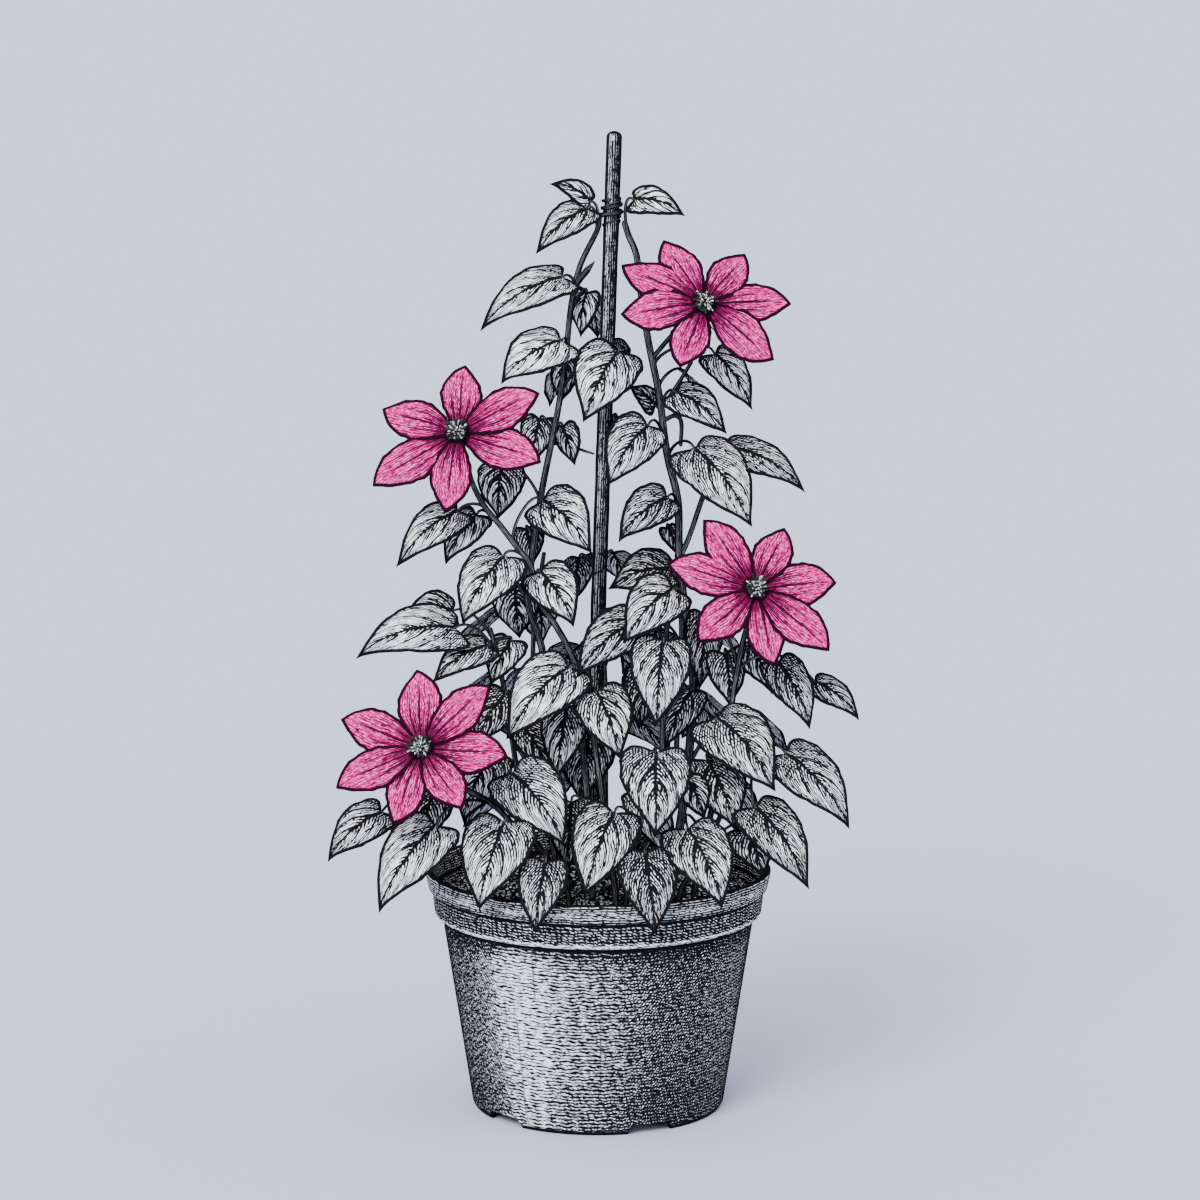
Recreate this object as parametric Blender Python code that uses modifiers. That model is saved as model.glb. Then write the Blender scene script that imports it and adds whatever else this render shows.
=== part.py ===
"""A clematis trained up a cane in a plastic nursery pot, in metres with +Z up.

The origin is the middle of the pot's underside. The front of the plant faces -Y and +X is to the right.
"""

import math
import random

import bmesh
import bpy
from mathutils import Matrix, Vector

MM = 0.001
GAP = 0.3 * MM

# Pot, a moulded nursery pot with a two-band collar and a notched foot
POT_HEIGHT = 190 * MM
RIM_RADIUS = 135.5 * MM
LIP_FOOT_RADIUS = 132.5 * MM
LIP_FOOT_HEIGHT = 174 * MM
COLLAR_TOP_RADIUS = 130 * MM
COLLAR_FOOT_RADIUS = 127.5 * MM
COLLAR_FOOT_HEIGHT = 153.5 * MM
INNER_STEP_LOW = 157 * MM
INNER_STEP_HIGH = 160 * MM
WALL_TOP_RADIUS = 122 * MM
WALL_FOOT_RADIUS = 99 * MM
WALL_THICKNESS = 3 * MM
POT_SIDES = 32
FOOT_RADIUS = 97 * MM
FOOT_RISE = 3 * MM
FLOOR_UNDERSIDE = 9 * MM
FLOOR_TOP = 12 * MM
CENTRE_BOSS_RADIUS = 30 * MM
NOTCHES = 5
NOTCH_WIDTH = 36 * MM
NOTCH_HEIGHT = 8 * MM
FIRST_NOTCH_TURN = math.radians(-47.5)
DRAIN_HOLES = 5
DRAIN_HOLE_RADIUS = 7 * MM
DRAIN_HOLE_CIRCLE = 74 * MM

# The plant and its cane stand a little to the right of the pot's middle, and their places are taken from there
PLANT_SET_OFF = 1.5 * MM

# Soil, level about 20 mm below the rim
SOIL_HEIGHT = 170 * MM
SOIL_BUMP = 2.2 * MM
STEM_ROOT_HEIGHT = 148 * MM
HOLE_CLEARANCE = 0.5 * MM

# Cane, a plain 12 mm rod with a domed end that leans a little to the right
CANE_RADIUS = 6 * MM
CANE_FOOT = Vector((-12.5, 0, 60)) * MM
CANE_TOP = Vector((11, 0, 762)) * MM
CANE_DOME = 4.5 * MM
GRIP_HEIGHT = 698 * MM
GRIP_RISE = 12 * MM
GRIP_TURN = math.radians(790)
GRIP_STEPS = 26
GRIP_RADIUS = 9 * MM
GRIP_END_RADIUS = 1.2 * MM

# Leaves and tepals, thin blades bowed along the middle and folded a little along the midrib
BLADE_THICKNESS = 1.1 * MM
STALK_RADIUS = 1.4 * MM
LEAF_STATIONS = (0.12, 0.34, 0.68)
LEAF_ARCH = 0.06
LEAF_FOLD = 0.12
LEAF_SAG = 0.12
TEPAL_THICKNESS = 1.2 * MM
TEPAL_STATIONS = (0, 0.3, 0.62, 0.85)
TEPAL_ARCH = 0.05
TEPAL_FOLD = 0.14
TEPAL_SAG = 0
RECEPTACLE_RADIUS = 7 * MM
RECEPTACLE_DEPTH = 3 * MM
BOSS_RADIUS = 7.5 * MM
FILAMENTS = 10

# Each sub-part's colour and roughness
LEAF_FINISH = ((0.32, 0.33, 0.34), 0.6)
POT_FINISH = ((0.22, 0.22, 0.23), 0.5)
SOIL_FINISH = ((0.03, 0.028, 0.03), 0.95)
CANE_FINISH = ((0.12, 0.12, 0.13), 0.6)
TEPAL_FINISH = ((0.8, 0.12, 0.36), 0.5)
STAMEN_FINISH = ((0.5, 0.5, 0.5), 0.7)

# Each stem's radius at the foot and at the top, then its way up from the soil, in millimetres
STEMS = {
    "vine_left": (
        (3.4, 2.2),
        (-26, -8, 178), (-32, -12, 250), (-40, -13, 324), (-45, -12, 365), (-56, -10, 402),
        (-52, -8, 438), (-45, -4, 485), (-37, 0, 525), (-31, 0, 556), (-26, 0, 592), (-22, 0, 630),
        (-15, -1, 660), (-2.4, -1, 686), (-0.3, 0, 697),
    ),
    "vine_right": (
        (4, 2.5),
        (56, -6, 178), (66, -9, 250), (72, -10, 320), (71, -9, 360), (65, -8, 399),
        (61, -6, 441), (60, -4, 479), (51.5, 0, 515), (45.5, 0, 560), (37, 0, 602), (31, 0, 641),
        (28, 0, 667), (22, 0, 682), (18.8, -1, 692),
    ),
    "bloom_left_stem": (
        (3.0, 2.1),
        (-6, -36, 178), (-10, -36, 250), (-15, -36, 313), (-19, -36, 356), (-34, -38, 387),
        (-46, -38, 405), (-53, -40, 434), (-62, -40, 446), (-76, -42, 465), (-88, -44, 480), (-98, -42, 500),
    ),
    "outer_left_stem": (
        (2.8, 1.9),
        (-52, -14, 178), (-60, -20, 240), (-70, -28, 310), (-78, -34, 360), (-84, -38, 384),
    ),
    "low_left_stem": (
        (2.8, 2.1),
        (-46, -38, 178), (-58, -52, 220), (-80, -70, 252), (-104, -86, 270), (-124, -94, 284),
    ),
    "middle_stem": (
        (2.8, 1.9),
        (12, -46, 178), (4, -54, 240), (-4, -60, 300), (-8, -62, 340), (-10, -64, 362),
    ),
    "front_right_stem": (
        (2.8, 1.9),
        (34, -40, 178), (46, -54, 240), (48, -60, 310), (50, -58, 380), (60, -54, 422),
    ),
    "bloom_right_stem": (
        (3.0, 2.1),
        (74, -22, 178), (88, -32, 250), (100, -42, 320), (108, -46, 370), (114, -50, 394),
    ),
    "low_right_stem": (
        (2.7, 1.9),
        (62, -44, 178), (80, -52, 214), (100, -50, 256), (122, -48, 298),
    ),
    "front_left_stem": (
        (2.6, 1.8),
        (-24, -56, 178), (-40, -78, 214), (-58, -94, 242), (-70, -90, 272),
    ),
    "front_middle_stem": (
        (2.6, 1.8),
        (20, -68, 178), (26, -86, 214), (32, -96, 252), (38, -96, 292),
    ),
    "back_left_stem": (
        (2.8, 1.9),
        (-34, 30, 178), (-44, 42, 240), (-52, 48, 310), (-52, 48, 370), (-44, 44, 430),
    ),
    "back_middle_stem": (
        (3.0, 2.0),
        (6, 36, 178), (4, 40, 240), (4, 38, 320), (0, 32, 400), (1, 24, 480), (4, 20, 550), (6, 18, 590),
    ),
    "back_right_stem": (
        (2.8, 1.9),
        (48, 32, 178), (58, 42, 240), (62, 48, 310), (64, 46, 370), (60, 40, 430),
    ),
    "low_back_left_stem": (
        (2.6, 1.8),
        (-16, 60, 178), (-38, 86, 220), (-62, 106, 256), (-84, 116, 286),
    ),
    "low_back_right_stem": (
        (2.6, 1.8),
        (32, 62, 178), (54, 88, 220), (76, 108, 256), (94, 118, 286),
    ),
}

# Each leaf's stalk end and tip in millimetres, its width, and the height at which its stalk leaves the stem
LEAVES = {
    "vine_left": (
        ((-7, -6, 709), (-39, -10, 722), 19, 690),
        ((-9, -8, 704), (-49, -26, 670), 30, 684),
        ((-28, -10, 652), (-91, -34, 612), 36, 643),
        ((-10, 8, 639), (-15, 12, 603), 26, 625),
        ((-29, -14, 604), (-75, -44, 573), 44, 585),
        ((-24, 6, 588), (-31, 8, 552), 28, 575),
        ((14, -20, 596), (-13, -44, 544), 50, 560),
        ((-46, 9, 541), (-52, 7, 504), 32, 526),
        ((-29, 7, 536), (-19, 8, 504), 23, 515),
        ((-57, 1, 457), (-51, -3, 428), 27, 445),
        ((-66, 2, 412), (-62, 0, 370), 44, 392),
        ((-76, 6, 504), (-79, 2, 463), 42, 476),
        ((-30, 26, 580), (-40, 56, 544), 30, 566),
        ((-8, 24, 632), (-2, 54, 598), 26, 620),
    ),
    "vine_right": (
        ((25.5, -12, 711), (65, -14, 698), 26, 684),
        ((58, -14, 564), (97, -28, 533), 34, 548),
        ((88, 2, 592), (117, -6, 549), 34, 580),
        ((43, 4, 551), (21, 6, 566), 22, 541),
        ((37, -24, 540), (5, -44, 495), 42, 518),
        ((72, -32, 523), (115.5, -60, 466), 54, 508),
        ((99, -8, 521), (157, -28, 488), 33, 496),
        ((52, -20, 484), (14, -40, 451), 35, 470),
        ((54, -2, 425), (6, -8, 410), 37, 408),
        ((52, 6, 457), (60, 4, 434), 18, 445),
        ((54, 22, 640), (88, 46, 606), 34, 622),
        ((66, 24, 575), (94, 52, 538), 32, 562),
        ((78, 26, 510), (106, 56, 468), 36, 496),
    ),
    "bloom_left_stem": (
        ((-108, -38, 476), (-155, -58, 435), 36, 478),
        ((-94, -30, 472), (-118, -40, 434), 32, 470),
        ((-44, -34, 483), (-6, -60, 446), 44, 450),
        ((-73, -50, 443), (-104, -76, 393), 47, 440),
        ((-46, -44, 430), (-20, -66, 390), 40, 412),
    ),
    "outer_left_stem": (
        ((-110, -52, 388), (-185, -80, 368), 43, 356),
        ((-112, -34, 398), (-150, -46, 396), 30, 370),
        ((-86, -46, 373), (-128, -66, 347), 30, 355),
        ((-68, -32, 375), (-84, -43, 341), 32, 372),
        ((-72, -40, 334), (-96, -52, 296), 40, 306),
        ((-58, -42, 308), (-38, -56, 273), 30, 280),
    ),
    "low_left_stem": (
        ((-166, -76, 250), (-207, -90, 213), 36, 262),
        ((-124, -112, 247), (-165.5, -142, 186), 48, 250),
        ((-84, -60, 290), (-104, -76, 240), 44, 250),
        ((-128, -62, 262), (-136, -78, 222), 38, 240),
    ),
    "middle_stem": (
        ((-23, -72, 361), (-71, -101, 310), 50, 345),
        ((-25, -48, 326), (-32, -60, 271), 38, 300),
        ((-3, -76, 343), (16, -98, 294), 44, 322),
        ((-8, -24, 300), (-14, -30, 246), 46, 272),
        ((-22, -54, 253), (-24, -72, 202), 40, 225),
    ),
    "front_right_stem": (
        ((30, -58, 395), (-18, -80, 353), 40, 385),
        ((22, -34, 402), (46, -36, 366), 36, 372),
        ((56, -64, 420), (17, -86, 381), 43, 420),
        ((48, -76, 382), (41, -104, 320), 48, 352),
        ((36, -36, 352), (30, -44, 307), 36, 325),
        ((70, -44, 338), (50, -58, 294), 34, 312),
        ((30, -66, 262), (52, -84, 211), 34, 240),
        ((66, -70, 274), (80, -82, 244), 28, 258),
    ),
    "bloom_right_stem": (
        ((89, -62, 320), (133, -96, 269), 56, 300),
        ((82, -54, 286), (102, -76, 235), 50, 264),
        ((96, -26, 364), (101, -34, 322), 34, 340),
        ((136, -48, 361), (160, -66, 311), 37, 350),
        ((165, -30, 342), (199, -46, 314), 26, 362),
        ((82, -20, 392), (76, -28, 334), 34, 350),
        ((114, -36, 372), (132, -44, 334), 32, 362),
        ((104, -36, 262), (112, -52, 216), 29, 238),
    ),
    "low_right_stem": (
        ((141, -70, 294), (189, -96, 240), 46, 288),
        ((118, -84, 255), (158, -116, 198), 44, 284),
        ((66, -112, 245), (91, -150, 191), 51, 208),
        ((112, -60, 232), (124, -78, 198), 36, 212),
    ),
    "front_left_stem": (
        ((-72, -112, 250), (-90, -147, 189), 55, 238),
        ((-67, -96, 284), (-27, -118, 231), 52, 270),
        ((-41, -126, 222), (-48, -154, 173), 38, 206),
    ),
    "front_middle_stem": (
        ((42, -108, 303), (41, -138, 243), 55, 290),
        ((11, -112, 257), (-12, -140, 198), 50, 234),
        ((34, -124, 229), (40, -156, 172), 46, 212),
    ),
    "back_middle_stem": (
        ((8, 32, 600), (14, 60, 560), 30, 584),
        ((13, 34, 540), (20, 60, 508), 22, 520),
        ((-16, 30, 430), (-22, 50, 386), 34, 414),
        ((10, 30, 434), (22, 54, 402), 32, 420),
    ),
}

# Side twigs: the places along each, with its radius there, in millimetres. The left vine's first is a bud
TWIGS = {
    "vine_left": (
        ((-20.5, -1, 638, 1.8), (-17, -3, 647, 2.6), (-10, -4, 656, 2.7), (-4.5, -4, 662.5, 0.7)),
        ((-38, 0, 522, 1.4), (-27, 13, 521, 1.2), (-14, 12, 516, 1.2), (-5, 9, 513.5, 0.9)),
    ),
    "vine_right": (
        ((61.5, -6, 434, 2.4), (69, -8, 452, 2.2), (79, -9, 482, 2.2), (86, -12, 500, 1.6)),
        ((50, 0, 541, 2), (58, -2, 544.5, 2), (62.5, -3, 539, 1.9), (62, -5, 522, 1.6)),
        ((49, -1, 552, 2), (58, -4, 566, 1.9), (70, -6, 586, 1.5)),
    ),
}

# The stem that carries each bloom, the height at which a stalk of its own leaves that stem and the points
# on the stalk's way, in millimetres, or nothing where the stem itself ends in the bloom
CARRIERS = {
    "bloom_top_right": ("vine_right", (588, (52, -12, 604), (66, -26, 620))),
    "bloom_left": ("bloom_left_stem", None),
    "bloom_right": ("bloom_right_stem", None),
    "bloom_low_left": ("low_left_stem", None),
}
STALK_END_LENGTH = 14 * MM
BLOOM_STALK_RADIUS = 2.0

# Leaves at the back grow by rule: a pair on the stem at each step up, each pair turned from the last
BACK_STEMS = {
    "back_left_stem": (326, 376, 126),
    "back_middle_stem": (292, 346, 84),
    "back_right_stem": (310, 424, 78),
    "low_back_left_stem": (228, 290, 125),
    "low_back_right_stem": (232, 290, 60),
}
BACK_LEAF_STEP = 50

# Each bloom's middle in millimetres, the way it faces in degrees round and up, and its tepals
# as degrees clockwise from the top, length and width in millimetres
BLOOMS = {
    "bloom_top_right": (
        (78.5, -50, 635), (8, 22),
        (331, 58, 31), (41, 51, 30), (91, 67, 31), (132, 68, 35), (203, 54, 31), (263, 65, 33), (297, 69, 31),
    ),
    "bloom_left": (
        (-107.5, -56, 537.5), (-8, 26),
        (2, 55, 33), (62, 69, 34), (109, 69, 35), (185, 64, 33), (235, 76, 35), (287, 62, 33),
    ),
    "bloom_right": (
        (117.5, -76, 421.5), (8, 22),
        (326, 66, 33), (28, 53, 31), (87, 63, 35), (133, 73, 34), (169, 61, 31), (229, 62, 33), (287, 70, 33),
    ),
    "bloom_low_left": (
        (-133.5, -122, 308), (-8, 26),
        (352, 62, 35), (45, 70, 33), (94, 66, 35), (144, 58, 31), (197, 62, 31), (242, 71, 33), (288, 67, 34),
    ),
}


def remove_everything():
    for obj in list(bpy.data.objects):
        bpy.data.objects.remove(obj, do_unlink=True)


def new_collection(name):
    collection = bpy.data.collections.new(name)
    bpy.context.scene.collection.children.link(collection)
    return collection


def finish(name, colour, roughness):
    material = bpy.data.materials.new(name)
    material.use_nodes = True
    shader = material.node_tree.nodes["Principled BSDF"]
    shader.inputs["Base Color"].default_value = (*colour, 1)
    shader.inputs["Roughness"].default_value = roughness
    shader.inputs["Metallic"].default_value = 0
    return material


def object_from(name, mesh, collection):
    obj = bpy.data.objects.new(name, mesh)
    collection.objects.link(obj)
    return obj


def evaluated_mesh(obj):
    graph = bpy.context.evaluated_depsgraph_get()
    return bpy.data.meshes.new_from_object(obj.evaluated_get(graph))


def smooth_way(points, steps):
    """A Catmull-Rom curve through the points, with this many steps between two of them."""
    padded = [points[0] * 2 - points[1], *points, points[-1] * 2 - points[-2]]
    way = []
    for a, b, c, d in zip(padded, padded[1:], padded[2:], padded[3:]):
        for step in range(steps):
            t = step / steps
            way.append(
                0.5 * (2 * b + (c - a) * t + (2 * a - 5 * b + 4 * c - d) * t**2 + (3 * b - a - 3 * c + d) * t**3)
            )
    return [*way, points[-1]]


def tube(name, points, radii, resolution, collection):
    """A capped tube along the points. A resolution of 0 gives it 4 sides, 1 gives 6 and 2 gives 8."""
    curve = bpy.data.curves.new(name, "CURVE")
    curve.dimensions = "3D"
    curve.bevel_depth = 1
    curve.bevel_resolution = resolution
    curve.use_fill_caps = True
    spline = curve.splines.new("POLY")
    spline.points.add(len(points) - 1)
    for knot, point, radius in zip(spline.points, points, radii):
        knot.co = (*point, 1)
        knot.radius = radius
    drawn = object_from(name + "_curve", curve, collection)
    mesh = evaluated_mesh(drawn)
    bpy.data.objects.remove(drawn, do_unlink=True)
    shape = bmesh.new()
    shape.from_mesh(mesh)
    bmesh.ops.remove_doubles(shape, verts=shape.verts, dist=1e-6)
    bmesh.ops.triangulate(shape, faces=shape.faces)
    bmesh.ops.recalc_face_normals(shape, faces=shape.faces)
    shape.to_mesh(mesh)
    shape.free()
    return object_from(name, mesh, collection)


def fuse(name, pieces, collection):
    """One closed solid from a first piece and all that grows from it."""
    body, *grown = pieces
    growth = new_collection(name + "_growth")
    for piece in grown:
        collection.objects.unlink(piece)
        growth.objects.link(piece)
    union = body.modifiers.new("grow_together", "BOOLEAN")
    union.operation = "UNION"
    union.operand_type = "COLLECTION"
    union.collection = growth
    union.solver = "EXACT"
    mesh = evaluated_mesh(body)
    for piece in pieces:
        bpy.data.objects.remove(piece, do_unlink=True)
    bpy.data.collections.remove(growth)
    keep_largest_body(mesh)
    return object_from(name, mesh, collection)


def keep_largest_body(mesh):
    """Drops what the union left apart from the main body, such as a scrap or the wall of a hidden hollow."""
    shape = bmesh.new()
    shape.from_mesh(mesh)
    left = set(shape.faces)
    bodies = []
    while left:
        found = {left.pop()}
        edge_of_search = list(found)
        while edge_of_search:
            face = edge_of_search.pop()
            for edge in face.edges:
                for other in edge.link_faces:
                    if other in left:
                        left.discard(other)
                        found.add(other)
                        edge_of_search.append(other)
        bodies.append(found)
    main = max(bodies, key=len)
    scraps = [face for body in bodies if body is not main for face in body]
    bmesh.ops.delete(shape, geom=scraps, context="FACES")
    bmesh.ops.triangulate(shape, faces=shape.faces)
    shape.to_mesh(mesh)
    shape.free()


def add_blade(shape, rows, tip, lift):
    """Two like faces, a lift to each side of the rows, joined along their edges and at the tip.

    A row is a point on the left edge, one on the midrib and one on the right edge. The first rows come back.
    """
    tops = [[shape.verts.new(point + lift) for point in row] for row in rows]
    bottoms = [[shape.verts.new(point - lift) for point in row] for row in rows]
    end = shape.verts.new(tip)
    for face in (tops, bottoms):
        for (left, middle, right), (next_left, next_middle, next_right) in zip(face, face[1:]):
            shape.faces.new((left, middle, next_left))
            shape.faces.new((middle, next_middle, next_left))
            shape.faces.new((middle, right, next_right))
            shape.faces.new((middle, next_right, next_middle))
        left, middle, right = face[-1]
        shape.faces.new((left, middle, end))
        shape.faces.new((middle, right, end))
    for edge in (0, 2):
        for above, below, next_above, next_below in zip(tops, bottoms, tops[1:], bottoms[1:]):
            shape.faces.new((above[edge], below[edge], next_above[edge]))
            shape.faces.new((below[edge], next_below[edge], next_above[edge]))
        shape.faces.new((tops[-1][edge], bottoms[-1][edge], end))
    return tops[0], bottoms[0]


def object_from_shape(name, shape, collection):
    bmesh.ops.recalc_face_normals(shape, faces=shape.faces)
    mesh = bpy.data.meshes.new(name)
    shape.to_mesh(mesh)
    shape.free()
    return object_from(name, mesh, collection)


def leaf_outline(u):
    """Half of a heart-shaped leaf's edge: how far along the leaf and how far out, as u runs from notch to tip."""
    along = u**1.2 - 2.1 * u * (1 - u) ** 4
    out = math.sin(math.pi * u**0.72) * (1 - 0.35 * u**6)
    return along, out


def tepal_outline(u):
    """Half of a tepal's edge, narrow where it joins the bloom, widest past the middle, then pointed."""
    return u, math.sin(math.pi * (0.07 + 0.93 * u) ** 1.2) ** 0.85


def blade_frame(base, tip, facing):
    along = tip - base
    normal = (facing - along * facing.dot(along) / along.length_squared).normalized()
    return along, along.cross(normal).normalized(), normal


def blade_rows(base, frame, width, outline, stations, arch, fold, sag):
    """Points of a blade bowed along its midrib and folded across it, at each station along it.

    A blade held out sideways also curves over towards the ground in its own plane, by its sag.
    """
    along, side, normal = frame
    rows = []
    for u in stations:
        edge_along, edge_out = outline(u)
        row = []
        for v in (-1, 0, 1):
            reach = (1 - abs(v)) * u + abs(v) * edge_along
            out = v * edge_out * width / 2
            bow = along.length * 4 * reach * (1 - reach)
            rise = arch * bow - fold * abs(out)
            row.append(base + along * reach + side * (out + sag * side.z * bow) + normal * rise)
        rows.append(row)
    return rows


def leaf_facing(base):
    """Leaves look outwards and up, and those in front turn their faces to the front."""
    outward = Vector((base.x, base.y, 0))
    outward = outward.normalized() if outward.length > 1e-6 else Vector((0, -1, 0))
    if base.y < 20 * MM:
        return (outward * 0.35 + Vector((0, -0.85, 0.42))).normalized()
    return (outward * 0.8 + Vector((0, 0, 0.6))).normalized()


def back_leaves(name, way):
    """Pairs of leaves up the back of the plant, in the same form as the rows of LEAVES."""
    chance = random.Random(name)
    lowest, highest, outward_turn = BACK_STEMS[name]
    leaves = []
    for pair, height in enumerate(range(lowest, highest + 1, BACK_LEAF_STEP)):
        start, _ = point_at_height(way, height * MM)
        for hand in (-1, 1):
            turn = math.radians(outward_turn + hand * (48 if pair % 2 else 34) + chance.uniform(-8, 8))
            outward = Vector((math.cos(turn), math.sin(turn), 0))
            reach = chance.uniform(22, 34) * MM
            length = chance.uniform(52, 68) * MM
            base = start + outward * reach + Vector((0, 0, chance.uniform(6, 14))) * MM
            tip = base + (outward * 0.72 - Vector((0, 0, 0.69))) * length
            leaves.append((base / MM, tip / MM, length / MM * chance.uniform(0.6, 0.7), height - 6))
    return leaves


def point_at_height(way, height):
    for low, high in zip(way, way[1:]):
        if low.z <= height <= high.z:
            share = (height - low.z) / max(high.z - low.z, 1e-9)
            return low.lerp(high, share), (high - low).normalized()
    return way[-1], (way[-1] - way[-2]).normalized()


def stalk_way(way, leave_height, base, tip):
    """A leaf's stalk, out of the middle of the stem and up to the foot of the midrib."""
    start, climb = point_at_height(way, leave_height)
    along = (tip - base).normalized()
    reach = (base - start).length
    first = start + climb * reach * 0.3
    second = base - along * reach * 0.3 + Vector((0, 0, reach * 0.1))
    points = []
    for t in (0, 0.36, 0.7, 1):
        points.append(
            start * (1 - t) ** 3 + first * 3 * t * (1 - t) ** 2 + second * 3 * t**2 * (1 - t) + base * t**3
        )
    return points


def leaf(name, stalk, tip, width, collection):
    """A leaf in one piece: a four-sided stalk whose last ring opens into the blade."""
    base = stalk[-1]
    frame = blade_frame(base, tip, leaf_facing(base))
    along, across, over = (axis.copy() for axis in frame)
    rows = blade_rows(base, frame, width, leaf_outline, LEAF_STATIONS, LEAF_ARCH, LEAF_FOLD, LEAF_SAG)
    shape = bmesh.new()
    tops, bottoms = add_blade(shape, rows, tip, over * BLADE_THICKNESS / 2)
    heading = along.normalized()
    rings = []
    for number in range(len(stalk) - 1, -1, -1):
        ahead = heading
        if number < len(stalk) - 1:
            ahead = (stalk[number + 1] - stalk[max(number - 1, 0)]).normalized()
        turn = heading.rotation_difference(ahead)
        across.rotate(turn)
        over.rotate(turn)
        heading = ahead
        offsets = (-across, over, across, -over)
        rings.append([shape.verts.new(stalk[number] + offset * STALK_RADIUS) for offset in offsets])
    left, top, right, bottom = rings[0]
    for edge, side in ((0, left), (2, right)):
        shape.faces.new((top, tops[1], tops[edge]))
        shape.faces.new((bottom, bottoms[1], bottoms[edge]))
        shape.faces.new((top, side, tops[edge]))
        shape.faces.new((side, bottoms[edge], tops[edge]))
        shape.faces.new((side, bottom, bottoms[edge]))
    for ring, following in zip(rings, rings[1:]):
        for corner in range(4):
            a, b = ring[corner], ring[(corner + 1) % 4]
            c, d = following[corner], following[(corner + 1) % 4]
            shape.faces.new((a, b, c))
            shape.faces.new((b, d, c))
    a, b, c, d = rings[-1]
    shape.faces.new((a, b, c))
    shape.faces.new((a, c, d))
    return object_from_shape(name, shape, collection)


def cane_middle(height):
    share = (height - CANE_FOOT.z) / (CANE_TOP.z - CANE_FOOT.z)
    return CANE_FOOT.lerp(CANE_TOP, share)


def grip(name, radius, collection):
    """The vine's tip, which winds twice round the cane and holds the whole plant to it."""
    way, radii = [], []
    for step in range(GRIP_STEPS + 1):
        share = step / GRIP_STEPS
        turn = math.pi + share * GRIP_TURN
        middle = cane_middle(GRIP_HEIGHT + GRIP_RISE * share)
        way.append(middle + Vector((math.cos(turn), math.sin(turn), 0)) * GRIP_RADIUS)
        radii.append(radius + (GRIP_END_RADIUS - radius) * share)
    return tube(name, way, radii, 0, collection)


def bloom_seat(name):
    """The last two points of what carries a bloom, straight onto the back of its receptacle."""
    middle, facing, *_ = BLOOMS[name]
    normal = bloom_axes(facing)[2]
    end = Vector(middle) * MM - normal * (RECEPTACLE_DEPTH + GAP)
    return [end - normal * STALK_END_LENGTH, end]


def bloom_stalk(name, way, collection):
    leave_height, *points = CARRIERS[name][1]
    start, _ = point_at_height(way, leave_height * MM)
    route = [start, *(Vector(point) * MM for point in points), *bloom_seat(name)]
    return tube(name + "_stalk", route, [BLOOM_STALK_RADIUS * MM] * len(route), 1, collection)


def leafy_stem(name, collection):
    (foot_radius, top_radius), *points = STEMS[name]
    points = [Vector(point) * MM for point in points]
    carried = [bloom_name for bloom_name, (carrier, _) in CARRIERS.items() if carrier == name]
    way = smooth_way(points, 1 if len(points) > 8 else 2)
    for bloom_name in carried:
        if CARRIERS[bloom_name][1] is None:
            way += bloom_seat(bloom_name)
    root = Vector((points[0].x, points[0].y, STEM_ROOT_HEIGHT))
    way = [root, *way]
    last = len(way) - 1
    radii = [(foot_radius + (top_radius - foot_radius) * i / last) * MM for i in range(len(way))]
    pieces = [tube(name + "_stem", way, radii, 1, collection)]
    if name == "vine_left":
        pieces.append(grip(name + "_grip", top_radius * MM, collection))
    for bloom_name in carried:
        if CARRIERS[bloom_name][1] is not None:
            pieces.append(bloom_stalk(bloom_name, way, collection))
    for twig in TWIGS.get(name, ()):
        places = [Vector(place[:3]) * MM for place in twig]
        pieces.append(tube(name + "_twig", places, [place[3] * MM for place in twig], 0, collection))
    leaves = list(LEAVES.get(name, ()))
    if name in BACK_STEMS:
        leaves += back_leaves(name, way)
    for base, tip, width, leave_height in leaves:
        base, tip = Vector(base) * MM, Vector(tip) * MM
        stalk = stalk_way(way, leave_height * MM, base, tip)
        pieces.append(leaf(name + "_leaf", stalk, tip, width * MM, collection))
    return fuse(name, pieces, collection)


def bloom_axes(facing):
    turn, lift = (math.radians(angle) for angle in facing)
    normal = Vector((math.sin(turn) * math.cos(lift), -math.cos(turn) * math.cos(lift), math.sin(lift)))
    right = Vector((math.cos(turn), math.sin(turn), 0))
    return right, right.cross(-normal), normal


def disc(name, middle, normal, radius, low, high, sides, collection):
    """A short cylinder on a bloom's axis, from low to high along the way the bloom faces."""
    mesh = bpy.data.meshes.new(name)
    shape = bmesh.new()
    turned = normal.to_track_quat("Z", "Y").to_matrix().to_4x4()
    place = Matrix.Translation(middle + normal * (low + high) / 2) @ turned
    bmesh.ops.create_cone(
        shape, cap_ends=True, cap_tris=True, segments=sides, radius1=radius, radius2=radius,
        depth=high - low, matrix=place,
    )
    shape.to_mesh(mesh)
    shape.free()
    return object_from(name, mesh, collection)


def tepal(name, base, tip, facing, width, collection):
    frame = blade_frame(base, tip, facing)
    rows = blade_rows(base, frame, width, tepal_outline, TEPAL_STATIONS, TEPAL_ARCH, TEPAL_FOLD, TEPAL_SAG)
    shape = bmesh.new()
    tops, bottoms = add_blade(shape, rows, tip, frame[2] * TEPAL_THICKNESS / 2)
    for edge in (0, 2):
        shape.faces.new((tops[1], tops[edge], bottoms[1]))
        shape.faces.new((tops[edge], bottoms[edge], bottoms[1]))
    return object_from_shape(name, shape, collection)


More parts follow.
